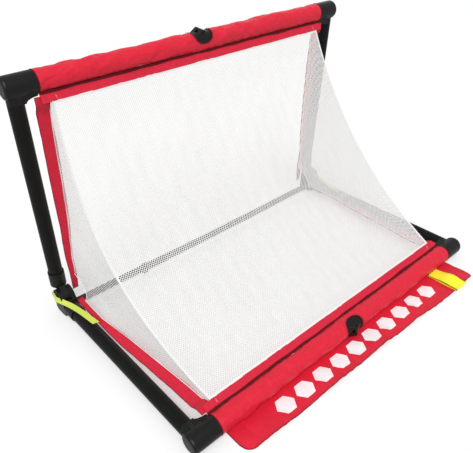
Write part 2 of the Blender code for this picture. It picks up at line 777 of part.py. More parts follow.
def side_net(name, side, parent):
    """The upright net between the two strips of one side, out to the slanted net's curved edge."""
    rise = STRIP_RISE + CLOTH + CLEAR + NET_THICK / 2
    last = LEG - TAPE - BAR_R
    lower_end = Vector((-last, rise))
    upper_end = Vector(in_lower_axes(last, rise))
    middle = net_line(1)
    goal = Vector((-middle.x, middle.y))
    bulge = goal - (lower_end + upper_end) / 2

    def place(across, share, height):
        along = SIDE_NET_FROM + (last - SIDE_NET_FROM) * share
        lower = Vector((-along, rise))
        upper = Vector(in_lower_axes(along, rise))
        flat = lower.lerp(upper, across) + bulge * 4 * across * (1 - across) * share**2
        inward = NET_SIDE + (STRIP_INNER[0] - 0.002 - NET_SIDE) * (1 - share)
        return (inward + height, flat.x, flat.y)

    at = (NET_SIDE, lower_end.x, rise)
    piece(name, net(SIDE_NET_ACROSS, SIDE_NET_ALONG, place, NET_THICK), (None, side, at), WHITE_NET, parent)


def strip(name, spot, start, parent):
    """The binding along one leg: a flat tape that widens towards the sleeve, notched clear of the corner."""
    end, notch = LEG - math.sqrt(BAR_R**2 - STRIP_RISE**2) - 2 * CLEAR, LEG - STUB
    outline = [
        (STRIP_OUTER[0], start),
        (STRIP_INNER[0], start),
        (STRIP_INNER[1], end),
        (SLEEVE_FROM + CLEAR, end),
        (SLEEVE_FROM + CLEAR, notch),
        (STRIP_OUTER[1], notch),
    ]
    piece(name, prism(outline, STRIP_RISE, STRIP_RISE + CLOTH, ALONG_Z), spot, RED_CLOTH, parent)


def hinge_webbing(name, spot, parent):
    """The strap that holds the two side hinges at their spacing, doubled over where its slider sits."""
    face = CHEEK_HALF + CLEAR
    back, front = WEB_ALONG - WEB_TAB_BACK, WEB_ALONG + WEB_TAB_FRONT
    low, high = WEB_ALONG - WEB_THICK / 2, WEB_ALONG + WEB_THICK / 2
    far = WIDTH - face
    outline = [
        (face, back),
        (face + WEB_THICK, back),
        (face + WEB_THICK, low),
        (far - WEB_THICK, low),
        (far - WEB_THICK, back),
        (far, back),
        (far, front),
        (far - WEB_THICK, front),
        (far - WEB_THICK, high),
        (DOUBLED_TO, high),
        (DOUBLED_TO, high + WEB_THICK),
        (DOUBLED_FROM, high + WEB_THICK),
        (DOUBLED_FROM, high),
        (face + WEB_THICK, high),
        (face + WEB_THICK, front),
        (face, front),
    ]
    piece(name, prism(outline, -WEB_HALF, WEB_HALF, ALONG_Z), spot, BLACK_WEBBING, parent)


def slider(name, spot, parent):
    """The plastic buckle round the doubled webbing."""
    low = WEB_ALONG - WEB_THICK / 2 - CLEAR
    high = WEB_ALONG + WEB_THICK * 1.5 + CLEAR
    wall = SLIDER_THICK / 2
    first, last = SLIDER_AT - SLIDER_HALF, SLIDER_AT + SLIDER_HALF
    block = [(first, low - wall), (last, low - wall), (last, high + wall), (first, high + wall)]
    hole = [(first - 0.01, low), (last + 0.01, low), (last + 0.01, high), (first - 0.01, high)]
    half = WEB_HALF + CLEAR
    piece(
        name,
        prism(block, -SLIDER_TALL, SLIDER_TALL, ALONG_Z),
        spot,
        BLACK_PLASTIC,
        parent,
        cut(prism(hole, -half, half, ALONG_Z)),
    )


def banner_spot(across, out, height=0.0):
    """A point of the banner's underside from its two shares: it ripples more towards its free edge."""
    inward = BANNER_FROM + (BANNER_TO - BANNER_FROM) * across
    edge = BANNER_OUT[0] + (BANNER_OUT[1] - BANNER_OUT[0]) * across
    ripple = 0.5 - 0.5 * math.cos(2 * math.pi * BANNER_WAVES * across)
    lift = CLEAR + BANNER_WAVE * ripple * out**1.5
    return (inward, LEG + BANNER_ROOT + (edge - BANNER_ROOT) * out, GROUND + lift + height)


def banner(name, spot, parent):
    def place(across, out, height):
        return banner_spot(across, out, height + CLOTH / 2)

    piece(name, sheet(BANNER_COLUMNS, BANNER_ROWS, place, CLOTH), spot, RED_CLOTH, parent)


def banner_band(name, spot, parent):
    """The yellow loop laid over the banner's right end, arched a little clear of it."""
    rise = CLOTH + BANNER_WAVE + 2 * CLEAR

    def place(across, share, height):
        inward = BAND_FROM + (BAND_TO - BAND_FROM) * across
        out = BAND_ROOT + (BAND_OUT - BAND_ROOT) * share
        arch = BAND_ARCH * math.sin(math.pi * share) ** 2 * across
        return (inward, LEG + out, GROUND + rise + arch + CLOTH / 2 + height)

    piece(name, sheet(2, BAND_STEPS, place, CLOTH), spot, YELLOW_WEBBING, parent)


def build_side(level, side, axes):
    """The leg, corner, pins and side-hinge leaf of one side of one frame, with its binding strip."""
    prefix = f"{level}_{SIDE_NAMES[side]}"
    body = axes[f"{prefix}_side"]
    leg_tube(f"{prefix}_leg", (level, side, (0, HINGE_ALONG, 0)), body)
    corner(f"{prefix}_corner", (level, side, (0, LEG, 0)), body)
    headed_pin(
        f"{prefix}_corner_pin", PIN_R, PIN_HEAD_R, PIN_HEAD_FACE, PIN_HEAD_THICK,
        ALONG_Z, PIVOT[:2], (level, side, PIVOT), body,
    )
    leaf = upper_leaf if level == UPPER else lower_leaf
    leaf(f"{SIDE_NAMES[side]}_hinge_{level}_leaf", (level, side, HINGE), body)
    start = UPPER_STRIP_FROM if level == UPPER else LOWER_STRIP_FROM
    strip(f"{prefix}_strip", (level, side, (STRIP_OUTER[1], LEG, 0)), start, body)


def build_bar_half(level, side, axes):
    """Half of one crossbar, from the corner's pivot to the centre hinge."""
    prefix = f"{level}_{SIDE_NAMES[side]}"
    body = axes[f"{level}_bar_{SIDE_NAMES[side]}"]
    origin = PIVOT if side == LEFT else CENTRE_PIVOT
    spot = (level, side, origin)
    bar_end(f"{prefix}_bar_end", spot, body)
    bar_tube(f"{prefix}_bar_tube", spot, body)
    centre_leaf(f"{prefix}_centre_leaf", spot, body, outer=side == LEFT)
    sleeve(f"{prefix}_sleeve", spot, body)
    header_tape(f"{prefix}_header_tape", spot, body)
    if side == LEFT:
        headed_pin(
            f"{level}_centre_pin", CENTRE_PIN_R, CENTRE_PIN_HEAD_R,
            LUG_HALF + CLEAR + CENTRE_PIN_HEAD_THICK, CENTRE_PIN_HEAD_THICK,
            ALONG_Z, CENTRE_PIVOT[:2], (level, side, CENTRE_PIVOT), body,
        )


def build_hinge_fittings(side, axes):
    """The side hinge's pin, and the sprung lock with its pull strap."""
    name = SIDE_NAMES[side]
    body = axes[f"lower_{name}_side"]
    headed_pin(
        f"{name}_hinge_pin", SIDE_PIN_R, SIDE_PIN_HEAD_R, CHEEK_HALF + SIDE_PIN_PROUD, SIDE_PIN_HEAD,
        ALONG_X, HINGE[1:], (LOWER, side, HINGE), body,
    )
    plunger_spring(f"{name}_lock_spring", LOWER, side, PLUNGER, body)
    lock = axes[f"{name}_lock"]
    plunger(f"{name}_lock_plunger", (LOWER, side, PLUNGER), lock)
    pull_strap(f"{name}_pull_strap", (LOWER, side, PLUNGER), lock)


def joint_axes():
    """One empty for each moving body, on its joint's axis, in the order in which the goal unfolds."""
    axes = {}

    def add(name, at, parent=None):
        axes[name] = joint_axis(f"axis_{name}", at, axes.get(parent))

    add("lower_left_side", world(LOWER, LEFT, HINGE))
    add("upper_left_side", world(UPPER, LEFT, HINGE), "lower_left_side")
    add("upper_bar_left", world(UPPER, LEFT, PIVOT), "upper_left_side")
    add("upper_bar_right", world(UPPER, LEFT, CENTRE_PIVOT), "upper_bar_left")
    add("upper_right_side", world(UPPER, RIGHT, PIVOT), "upper_bar_right")
    add("lower_right_side", world(UPPER, RIGHT, HINGE), "upper_right_side")
    add("lower_bar_left", world(LOWER, LEFT, PIVOT), "lower_left_side")
    add("lower_bar_right", world(LOWER, LEFT, CENTRE_PIVOT), "lower_bar_left")
    add("left_lock", world(LOWER, LEFT, PLUNGER), "lower_left_side")
    add("right_lock", world(LOWER, RIGHT, PLUNGER), "lower_right_side")
    add("back_net_upper", world(UPPER, LEFT, (WIDTH / 2, LEG, 0)), "upper_left_side")
    add("back_net_lower", world(LOWER, LEFT, (WIDTH / 2, LEG, 0)), "lower_left_side")
    return axes


def main():
    for old in list(bpy.data.objects):
        bpy.data.objects.remove(old)
    axes = joint_axes()
    for level in (UPPER, LOWER):
        for side in (LEFT, RIGHT):
            build_side(level, side, axes)
            build_bar_half(level, side, axes)
        middle = (WIDTH / 2, LEG, 0)
        back_net(f"{level}_back_net", (level, LEFT, middle), axes[f"back_net_{level}"])
    for side in (LEFT, RIGHT):
        build_hinge_fittings(side, axes)
        side_net(f"{SIDE_NAMES[side]}_side_net", side, axes[f"lower_{SIDE_NAMES[side]}_side"])
    hinge_webbing("hinge_strap", (LOWER, LEFT, (0, WEB_ALONG, 0)), axes["lower_left_side"])
    slider("strap_slider", (LOWER, LEFT, (SLIDER_AT, WEB_ALONG, 0)), axes["lower_left_side"])
    banner("banner", (LOWER, LEFT, (WIDTH / 2, LEG, 0)), axes["lower_bar_left"])
    banner_band("banner_band", (LOWER, LEFT, (BAND_FROM, LEG, 0)), axes["lower_bar_right"])


main()
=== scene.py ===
"""The looks of a pop-up soccer goal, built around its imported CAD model.

Each side of a frame is drawn in its leg's own axes, as in the part's source: inward from the leg's axis,
along the leg from the hinge line to the crossbar, and across towards the other frame. Lengths are metres.
"""

import json
import math
from contextlib import contextmanager

import bmesh
import bpy
import numpy as np
from mathutils import Matrix, Vector

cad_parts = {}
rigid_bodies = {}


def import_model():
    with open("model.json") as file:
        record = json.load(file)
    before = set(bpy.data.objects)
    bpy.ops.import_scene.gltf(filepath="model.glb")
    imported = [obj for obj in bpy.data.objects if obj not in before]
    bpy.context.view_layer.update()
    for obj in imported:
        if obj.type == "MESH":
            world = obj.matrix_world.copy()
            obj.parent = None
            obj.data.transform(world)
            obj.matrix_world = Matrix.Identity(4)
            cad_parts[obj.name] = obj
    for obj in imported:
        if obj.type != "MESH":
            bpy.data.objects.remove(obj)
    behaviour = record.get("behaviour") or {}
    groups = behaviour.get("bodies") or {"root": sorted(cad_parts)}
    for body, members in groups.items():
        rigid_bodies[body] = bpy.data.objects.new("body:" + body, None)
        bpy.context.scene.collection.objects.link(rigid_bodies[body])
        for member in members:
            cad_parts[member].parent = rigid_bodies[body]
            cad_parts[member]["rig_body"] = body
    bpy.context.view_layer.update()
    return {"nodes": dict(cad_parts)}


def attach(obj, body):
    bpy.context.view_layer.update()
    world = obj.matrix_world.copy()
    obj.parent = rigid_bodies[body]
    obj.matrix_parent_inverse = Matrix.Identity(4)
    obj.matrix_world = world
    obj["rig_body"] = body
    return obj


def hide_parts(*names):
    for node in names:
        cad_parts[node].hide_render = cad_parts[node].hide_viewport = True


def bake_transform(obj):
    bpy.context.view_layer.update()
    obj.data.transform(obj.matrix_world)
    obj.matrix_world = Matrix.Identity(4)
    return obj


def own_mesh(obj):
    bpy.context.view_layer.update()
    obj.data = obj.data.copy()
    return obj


bl_info = {
    "name": "Pop-up soccer goal",
    "version": (1, 0, 0),
    "blender": (4, 5, 0),
    "location": "3D View > Sidebar > Goal",
    "description": "Cloth, nets, webbing and finishes for a folding soccer goal",
    "category": "Object",
}

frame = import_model()

# The frame's sizes, as in the part's source
WIDTH = 1.22
LEG = 0.751
OPEN_ANGLE = math.radians(85)
BAR_R = 0.031
SLEEVE_END = 0.5487
SHOULDER_R = 0.0293
WINDOW_HALF = 0.036
WINDOW_DEPTH = 0.030
TAPE = 0.028
NET_FROM = 0.0599
NET_SIDE = 0.080
NET_SIDE_AT_HINGE = 0.056
SIDE_NET_FROM = 0.085
SIDE_NET_RISE = 0.0107
STRIP_RISE = 0.008
STRIP_END = 0.7175
GUSSET_RISE = 0.0215
PLUNGER_ALONG = 0.01515
PLUNGER_ACROSS = 0.03595
COLLAR_FROM = 0.06615
COLLAR = 0.054
COLLAR_R = 0.026
STUB_END = 0.706
TUBE_R = 0.0225
WEB_ALONG = 0.055
PULL_WIDTH = 0.0185
HINGE_FACE = 0.0253
TAPE_END = 0.551
BANNER_ROOT = 0.0125
BANNER_LEFT = -0.529
BANNER_RIGHT = 0.550
BAND_FROM = 0.426
BAND_TO = 0.484
BAND_MIDDLE = (BAND_FROM + BAND_TO) / 2
WEB_TALL = 0.030
PULL_CLOTH = 0.0016
SLEEVE_CLOTH = 0.0012
SHOULDER_FROM = 0.535
NET_RIM = 0.692

# These set how many diamonds a back net half has across and down.
NET_WIDE = 1.09
NET_DEEP = 0.42

# Faces that meet at more degrees than this keep a sharp edge on the frame's parts.
SHARP_ANGLE = 48
PADDING_STEPS = 20

# The loop's cut size, which follows the photo. Its first number sets the loop's UV map. The banner's
# depth is rounded.
LOOP_CUT = (0.058, 0.240)

# Where cloth would bunch up beside the left legs as the crossbars fold, and to what share of its width.
# gathers takes them but doesn't use them.
BUNCH_X = -0.5852
BUNCH_SHARE = 0.11
STRAP_BUNCH = (-0.5847, 0.105)

# Each frame's directions as (y, z): out along its legs, and over towards the other frame
AXES = {
    "upper": ((-math.cos(OPEN_ANGLE), math.sin(OPEN_ANGLE)), (-math.sin(OPEN_ANGLE), -math.cos(OPEN_ANGLE))),
    "lower": ((-1.0, 0.0), (0.0, 1.0)),
}
HINGE_LINE = (0.435432, 0.031)
SIDES = {"left": -1, "right": 1}


def linear(code):
    """A colour as it is written in sRGB hex, in linear light with an alpha of 1."""
    channels = [int(code[k : k + 2], 16) / 255 for k in (0, 2, 4)]
    return (*[c / 12.92 if c <= 0.04045 else ((c + 0.055) / 1.055) ** 2.4 for c in channels], 1.0)


def length(label, about, default):
    return bpy.props.FloatProperty(name=label, description=about, default=default, unit="LENGTH")


def tint(label, about, code):
    return bpy.props.FloatVectorProperty(
        name=label, description=about, default=linear(code), subtype="COLOR", size=4, min=0, max=1
    )


class GoalSizes(bpy.types.PropertyGroup):
    """Sizes of the cloth and nets."""

    net_pitch: length("Net pitch", "Across one diamond of the nets", 0.0080)
    hole_share: bpy.props.FloatProperty(
        name="Hole share",
        description="Each hole's width as a share of its diamond",
        default=0.68,
        subtype="FACTOR",
    )
    net_sag: length("Net sag", "How far the back net hangs in from the line between the crossbars", 0.120)
    pad_swell: length("Pad swell", "How far the sleeves may swell past the crossbars' radius", 0.0030)
    cloth: length("Cloth", "Thickness of the tapes, strips and banner", 0.0012)
    webbing: length("Webbing", "Thickness of the strap between the side hinges", 0.0020)
    stitch_pitch: length("Stitch pitch", "From one stitch to the next", 0.0060)
    print_pitch: length("Print pitch", "From one printed lozenge to the next", 0.0780)


class GoalColours(bpy.types.PropertyGroup):
    """Colours of the cloth, nets and frame."""

    cover: tint("Covers", "Padded sleeves and banner", "E0243C")
    cover_dark: tint("Cover shade", "Darker threads of the covers", "BE182C")
    binding: tint("Binding", "Header tapes and strips", "DC2440")
    # Dark red for the hems and cord edges, partly their own colour and partly painted shade; it also paints
    # the shade of the crease at each tape's root.
    edge: tint("Edges", "Bindings and thread along the red cloth", "640510")
    net: tint("Net", "Mesh and its seams", "EAEAE8")
    tube: tint("Tube", "Powder coat of the frame", "0C0C0B")
    casting: tint("Castings", "Moulded corners and hinges", "0B0B0B")
    strap: tint("Strap", "Webbing between the hinges", "1A1A1B")
    pull: tint("Pull strap", "Webbing tails of the locks", "DDE85A")
    loop: tint("Loop", "Yellow loop on the banner", "FFF835")
    ink: tint("Print", "Ink on the banner", "FAF4F6")


def sizes():
    return bpy.context.scene.goal_sizes


def colours():
    return bpy.context.scene.goal_colours


# Places


def in_row(level, side, inward, along, across):
    """Points in the row frame from a leg's own axes, as an array whose last axis is x, y, z."""
    out, over = AXES[level]
    inward, along, across = np.broadcast_arrays(inward, along, across)
    y = HINGE_LINE[0] + out[0] * along + over[0] * across
    z = HINGE_LINE[1] + out[1] * along + over[1] * across
    return np.stack([side * (WIDTH / 2 - inward), y, z], -1)


def at_x(level, x, along, across):
    """The same, from the place along the crossbars."""
    return in_row(level, 1, WIDTH / 2 - np.asarray(x), along, across)


def unit(vectors):
    return vectors / np.linalg.norm(vectors, axis=-1, keepdims=True)


def ramp(value, width):
    """Rises from 0 at a value of 0 to 1 at this width."""
    return np.clip(value / width, 0, 1)


def bell(off, width):
    """A soft bump that is 1 in its middle."""
    return np.exp(-((off / width) ** 2))


def swell(points, size, seed):
    """A smooth uneven field from about -1 to 1 with bumps of this size, the same on each run."""
    random = np.random.default_rng(seed)
    total = np.zeros(np.shape(points)[:-1])
    for _ in range(7):
        way = random.normal(size=np.shape(points)[-1])
        rate = 2 * math.pi / size * random.uniform(0.6, 1.5) / np.linalg.norm(way)
        total += np.sin(points @ way * rate + random.uniform(0, 2 * math.pi))
    return total / 4.4


def uneven(run, size, seed, beside=0):
    """The same along one line."""
    return swell(np.stack([run, run * 0 + beside], -1), size, seed)


def tape_direction():
    """The header tape's direction in a frame's (along, across) plane, out from the crossbar's axis."""
    lean = (math.pi - OPEN_ANGLE) / 2 - math.atan2(sizes().net_sag, LEG * math.sin(OPEN_ANGLE / 2))
    return np.array([-math.cos(lean), math.sin(lean)])


def net_section(share):
    """The back net's section as (y, z) rows: 0 at the upper tape, 1 at the middle, 2 at the lower tape."""
    share = np.asarray(share, float)
    sag = sizes().net_sag
    base = (math.pi - OPEN_ANGLE) / 2
    half = LEG * math.sin(OPEN_ANGLE / 2)
    tilt = math.atan2(sag, half)
    start, start_sag = NET_FROM * math.cos(tilt), NET_FROM * math.sin(tilt)
    near = 1 - np.abs(1 - share)
    run = start + (half - start) * near
    left = (half - run) / (half - start)
    hang = sag - (sag - start_sag) * left**2
    along = LEG - math.cos(base) * run - math.sin(base) * hang
    across = math.sin(base) * run - math.cos(base) * hang
    upper = at_x("upper", 0.0, along, across)
    lower = at_x("lower", 0.0, along, across)
    return np.where((share <= 1)[..., None], upper, lower)[..., 1:]


def net_edge(share):
    """Where the back net folds into the side nets, across the goal."""
    middle = np.sin(math.pi * np.clip(np.asarray(share, float) / 2, 0, 1))
    return 0.524 + 0.036 * np.abs(middle) ** 0.9


# Meshes


def link(name, mesh):
    obj = bpy.data.objects.new(name, mesh)
    bpy.context.scene.collection.objects.link(obj)
    return obj


def made(name, points, faces, uv=None):
    """An object from points and faces, without points that no face uses. uv has a spot for each corner."""
    faces = np.asarray(faces)
    used, packed = np.unique(faces, return_inverse=True)
    mesh = bpy.data.meshes.new(name)
    mesh.from_pydata(np.asarray(points)[used].tolist(), [], packed.reshape(faces.shape).tolist())
    if uv is not None:
        mesh.uv_layers.new(name="Cloth").data.foreach_set("uv", np.asarray(uv, np.float32).ravel())
    mesh.update()
    return link(name, mesh)


def cloth_grid(name, points, uv, round_about=False, keep=None):
    """A sheet from rows and columns of points, with its own UV map in metres."""
    rows, columns = points.shape[:2]
    last = columns if round_about else columns - 1
    r, c = [a.ravel() for a in np.meshgrid(np.arange(rows - 1), np.arange(last), indexing="ij")]
    if keep is not None:
        r, c = r[keep.ravel()], c[keep.ravel()]
    corners = [(r, c), (r + 1, c), (r + 1, c + 1), (r, c + 1)]
    faces = np.stack([a * columns + b % columns for a, b in corners], -1)
    spots = np.stack([uv[a, b] for a, b in corners], 1)
    return made(name, points.reshape(-1, 3), faces, spots)


def run_of(path):
    """How far along a path each of its points lies."""
    return np.concatenate([[0], np.cumsum(np.linalg.norm(np.diff(path, axis=0), axis=1))])


def cord(name, path, radius, finish, closed=False, sides=6):
    """A thin round cord along a path, which closes its ends unless the path is a loop."""
    path = np.asarray(path, float)
    ahead = np.roll(path, -1, 0) - np.roll(path, 1, 0)
    if not closed:
        ahead[0], ahead[-1] = path[1] - path[0], path[-1] - path[-2]
    ahead = unit(ahead)
    side = np.cross(ahead[0], (0.31, 0.52, 0.79))
    frames = []
    for way in ahead:
        side = unit(side - way * (side @ way))
        frames.append((side, np.cross(way, side)))
    first, second = np.array(frames).transpose(1, 0, 2)[:, :, None]
    turn = np.arange(sides)[:, None] * 2 * math.pi / sides
    rings = path[:, None] + radius * (np.cos(turn) * first + np.sin(turn) * second)
    count = len(path)
    faces = []
    for k in range(count if closed else count - 1):
        after = (k + 1) % count
        for s in range(sides):
            t = (s + 1) % sides
            faces.append((k * sides + s, k * sides + t, after * sides + t, after * sides + s))
    mesh = bpy.data.meshes.new(name)
    caps = [] if closed else [list(range(sides))[::-1], list(range((count - 1) * sides, count * sides))]
    mesh.from_pydata(rings.reshape(-1, 3).tolist(), [], faces + caps)
    mesh.uv_layers.new(name="Cloth")
    mesh.update()
    return dressed(link(name, mesh), material_named(finish))


def with_settings(thing, **settings):
    """Sets several properties of one thing."""
    for key, value in settings.items():
        setattr(thing, key, value)
    return thing


def plain(obj):
    """Turns an object's modifiers into its mesh."""
    graph = bpy.context.evaluated_depsgraph_get()
    shown = obj.evaluated_get(graph)
    mesh = bpy.data.meshes.new_from_object(shown, preserve_all_data_layers=True, depsgraph=graph)
    obj.modifiers.clear()
    obj.vertex_groups.clear()
    old, obj.data = obj.data, mesh
    bpy.data.meshes.remove(old)
    obj.data.name = obj.name
    return obj


def walled(obj, thickness, offset=0):
    """Adds a modifier that gives a sheet its thickness, about its middle unless told otherwise."""
    with_settings(obj.modifiers.new("wall", "SOLIDIFY"), thickness=thickness, offset=offset)
    return obj


def joined(first, *others):
    """Several meshes made one object, which keeps the first one's name."""
    objects = [first, *others]
    with bpy.context.temp_override(
        active_object=first, object=first, selected_objects=objects, selected_editable_objects=objects
    ):
        bpy.ops.object.join()
    return first


def dressed(obj, material, smooth_angle=50):
    """Gives a mesh its material and smooth shading that breaks at sharp edges."""
    obj.data.materials.clear()
    obj.data.materials.append(material)
    obj.data.shade_smooth()
    obj.data.set_sharp_from_angle(angle=math.radians(smooth_angle))
    return obj


def cloth(name, points, uv, finish, thickness=None):
    """A thick sheet from a grid of points, as thick as the goal's cloth unless told otherwise."""
    sheet = walled(cloth_grid(name, points, uv), thickness or sizes().cloth)
    return dressed(plain(sheet), material_named(finish))


def spots_of(mesh):
    """A mesh's points as an array."""
    co = np.empty(len(mesh.vertices) * 3)
    mesh.vertices.foreach_get("co", co)
    return co.reshape(-1, 3)


def move_to(mesh, co):
    mesh.vertices.foreach_set("co", co.astype(np.float32).ravel())
    mesh.update()


@contextmanager
def edited(mesh):
    """A mesh opened for editing, and written back."""
    bm = bmesh.new()
    bm.from_mesh(mesh)
    yield bm
    bm.to_mesh(mesh)
    bm.free()
    mesh.update()


# Geometry Nodes


def node(tree, kind, sockets=None, **settings):
    """Adds a node with its settings, and gives each named input a value or a link."""
    new = with_settings(tree.nodes.new(kind), **settings)
    for key, value in (sockets or {}).items():
        if isinstance(value, bpy.types.NodeSocket):
            tree.links.new(value, new.inputs[key])
        else:
            new.inputs[key].default_value = value
    return new


def shape_tree(name, *numbers):
    """An empty Geometry Nodes tree that takes these numbers and a material, and its input node."""
    tree = bpy.data.node_groups.new(name, "GeometryNodeTree")
    kinds = {"Geometry": "Geometry", **dict.fromkeys(numbers, "Float"), "Material": "Material"}
    for label, kind in kinds.items():
        tree.interface.new_socket(label, in_out="INPUT", socket_type=f"NodeSocket{kind}")
    tree.interface.new_socket("Geometry", in_out="OUTPUT", socket_type="NodeSocketGeometry")
    return tree, node(tree, "NodeGroupInput")


def end_tree(tree, geometry, material):
    """Realize Instances, Set Material and the output, which every tree ends in."""
    real = node(tree, "GeometryNodeRealizeInstances", {"Geometry": geometry}).outputs["Geometry"]
    painted = node(tree, "GeometryNodeSetMaterial", {"Geometry": real, "Material": material})
    node(tree, "NodeGroupOutput", {"Geometry": painted.outputs["Geometry"]})
    return tree


def end_with_copies(tree, given, points, shape, scale, facing=None, axis="X"):
    """Ends a tree with the shape on each point. scale names three inputs, and axis follows facing."""
    sides = {key: given.outputs[value] if value else 1.0 for key, value in zip("XYZ", scale)}
    size = node(tree, "ShaderNodeCombineXYZ", sides)
    sockets = {"Points": points, "Instance": shape.outputs["Mesh"], "Scale": size.outputs["Vector"]}
    if facing:
        turned = node(tree, "FunctionNodeAlignRotationToVector", {"Vector": facing}, axis=axis)
        sockets["Rotation"] = turned.outputs["Rotation"]
    laid = node(tree, "GeometryNodeInstanceOnPoints", sockets)
    return end_tree(tree, laid.outputs["Instances"], given.outputs["Material"])


def grown(obj, tree, values):
    """Runs a tree on an object with these input values, and makes the result plain."""
    modifier = obj.modifiers.new(tree.name, "NODES")
    modifier.node_group = tree
    for item in tree.interface.items_tree:
        if item.in_out == "INPUT" and item.name in values:
            modifier[item.identifier] = values[item.name]
    return plain(obj)


def perforation_tree():
    """Cuts a smaller diamond out of each face marked open_cell."""
    tree, given = shape_tree("net_perforation", "Hole share")
    marked = node(tree, "GeometryNodeInputNamedAttribute", {"Name": "open_cell"}, data_type="BOOLEAN")
    mesh, chosen = given.outputs["Geometry"], marked.outputs["Attribute"]
    cells = {"Mesh": mesh, "Selection": chosen, "Offset Scale": 0.0}
    rims = node(tree, "GeometryNodeExtrudeMesh", cells, mode="FACES")
    rimmed, top = rims.outputs["Mesh"], rims.outputs["Top"]
    inner = {"Geometry": rimmed, "Selection": top, "Scale": given.outputs["Hole share"]}
    shrunk = node(tree, "GeometryNodeScaleElements", inner, domain="FACE")
    hole = {"Geometry": shrunk.outputs["Geometry"], "Selection": top}
    opened = node(tree, "GeometryNodeDeleteGeometry", hole, domain="FACE")
    return end_tree(tree, opened.outputs["Geometry"], given.outputs["Material"])


def stitch_tree():
    """Lays a small rounded stitch at every pitch along the lines of a mesh."""
    tree, given = shape_tree("sewn_stitches", "Pitch", "Stitch length", "Thread")
    lines = node(tree, "GeometryNodeMeshToCurve", {"Mesh": given.outputs["Geometry"]})
    spaced = {"Curve": lines.outputs["Curve"], "Length": given.outputs["Pitch"]}
    spots = node(tree, "GeometryNodeCurveToPoints", spaced, mode="LENGTH")
    shape = node(tree, "GeometryNodeMeshUVSphere", {"Segments": 6, "Rings": 4, "Radius": 0.5})
    scale = ("Stitch length", "Thread", "Thread")
    points, tangent = spots.outputs["Points"], spots.outputs["Tangent"]
    return end_with_copies(tree, given, points, shape, scale, tangent)


def rivet_tree():
    """Sets a domed rivet head on each point of a mesh, facing along its attribute named facing."""
    tree, given = shape_tree("rivet_heads", "Radius", "Height")
    facing = node(tree, "GeometryNodeInputNamedAttribute", {"Name": "facing"}, data_type="FLOAT_VECTOR")
    dome = node(tree, "GeometryNodeMeshUVSphere", {"Segments": 16, "Rings": 10, "Radius": 1.0})
    scale = ("Radius", "Radius", "Height")
    points, way = given.outputs["Geometry"], facing.outputs["Attribute"]
    return end_with_copies(tree, given, points, dome, scale, way, "Z")


def lozenge_tree():
    """A six-sided flat mark on each point of a mesh, cut finely enough to follow a ripple."""
    tree, given = shape_tree("printed_lozenges", "Long", "Tall")
    outline = node(tree, "GeometryNodeMeshCircle", {"Vertices": 6, "Radius": 0.5}, fill_type="NGON")
    fine = node(tree, "GeometryNodeSubdivideMesh", {"Mesh": outline.outputs["Mesh"], "Level": 3})
    return end_with_copies(tree, given, given.outputs["Geometry"], fine, ("Long", "Tall", None))


def tree_named(name, make):
    return bpy.data.node_groups.get(name) or make()


def stitches(name, lines, finish, pitch=None, long=0.0042, thread=0.0017):
    """Rows of stitches along paths, as one object."""
    points, edges = [], []
    for path in lines:
        start = len(points)
        points += np.asarray(path).tolist()
        edges += [(start + k, start + k + 1) for k in range(len(path) - 1)]
    mesh = bpy.data.meshes.new(name)
    mesh.from_pydata(points, edges, [])
    values = {
        "Pitch": pitch or sizes().stitch_pitch,
        "Stitch length": long,
        "Thread": thread,
        "Material": material_named(finish),
    }
    sewn = grown(link(name, mesh), tree_named("sewn_stitches", stitch_tree), values)
    sewn.data.shade_smooth()
    return sewn


def zigzag(start, end, way, wide, count):
    """A zigzag path from start to end, swinging by wide along way."""
    shares = np.linspace(0, 1, 2 * count + 1)
    swing = np.where(np.arange(2 * count + 1) % 2 == 0, -0.5, 0.5) * wide
    start, end, way = np.asarray(start), np.asarray(end), np.asarray(way)
    return start + (end - start) * shares[:, None] + way * swing[:, None]


# Materials


def new_material(name):
    material = bpy.data.materials.new(name)
    material.use_nodes = True
    tree = material.node_tree
    tree.nodes.clear()
    shader = node(tree, "ShaderNodeBsdfPrincipled")
    node(tree, "ShaderNodeOutputMaterial", {"Surface": shader.outputs["BSDF"]})
    return material, tree, shader


def speckled(tree, vector, size, low, high, detail=3.0):
    """Noise with bumps of this size in metres, spread between two values."""
    grain = node(tree, "ShaderNodeTexNoise", {"Vector": vector, "Scale": 1 / size, "Detail": detail})
    spread = {"Value": grain.outputs["Fac"], "To Min": low, "To Max": high}
    return node(tree, "ShaderNodeMapRange", spread).outputs["Result"]


def mixed(tree, share, first, second):
    """A colour between two, each a value or a link."""
    return node(tree, "ShaderNodeMix", {0: share, 6: first, 7: second}, data_type="RGBA").outputs[2]


def bumped(tree, shader, height, depth, strength=1.0):
    bump = node(tree, "ShaderNodeBump", {"Height": height, "Distance": depth, "Strength": strength})
    tree.links.new(bump.outputs["Normal"], shader.inputs["Normal"])


def blotched(name, light, dark, blotch, roughness, grain=None, sockets=None, most=1.0):
    """A finish whose colour drifts from light towards dark in blotches of this size.

    roughness is one value, or (size, low, high). grain is the skin's (size, depth, detail).
    """
    material, tree, shader = new_material(name)
    place = node(tree, "ShaderNodeTexCoord").outputs["Object"]
    shade = mixed(tree, speckled(tree, place, blotch, 0.0, most), light, dark)
    tree.links.new(shade, shader.inputs["Base Color"])
    if isinstance(roughness, tuple):
        tree.links.new(speckled(tree, place, *roughness), shader.inputs["Roughness"])
    else:
        shader.inputs["Roughness"].default_value = roughness
    for key, value in (sockets or {}).items():
        shader.inputs[key].default_value = value
    if grain:
        size, depth, detail = grain
        bumped(tree, shader, speckled(tree, place, size, 0.0, 1.0, detail), depth)
    return material


def steel(name, light, dark, low, high):
    """A plated steel: metallic, with the slightly blotched lustre that barrel plating leaves."""
    skin = (0.0011, 0.00002, 3.0)
    return blotched(name, linear(light), linear(dark), 0.006, (0.003, low, high), skin, {"Metallic": 1.0})


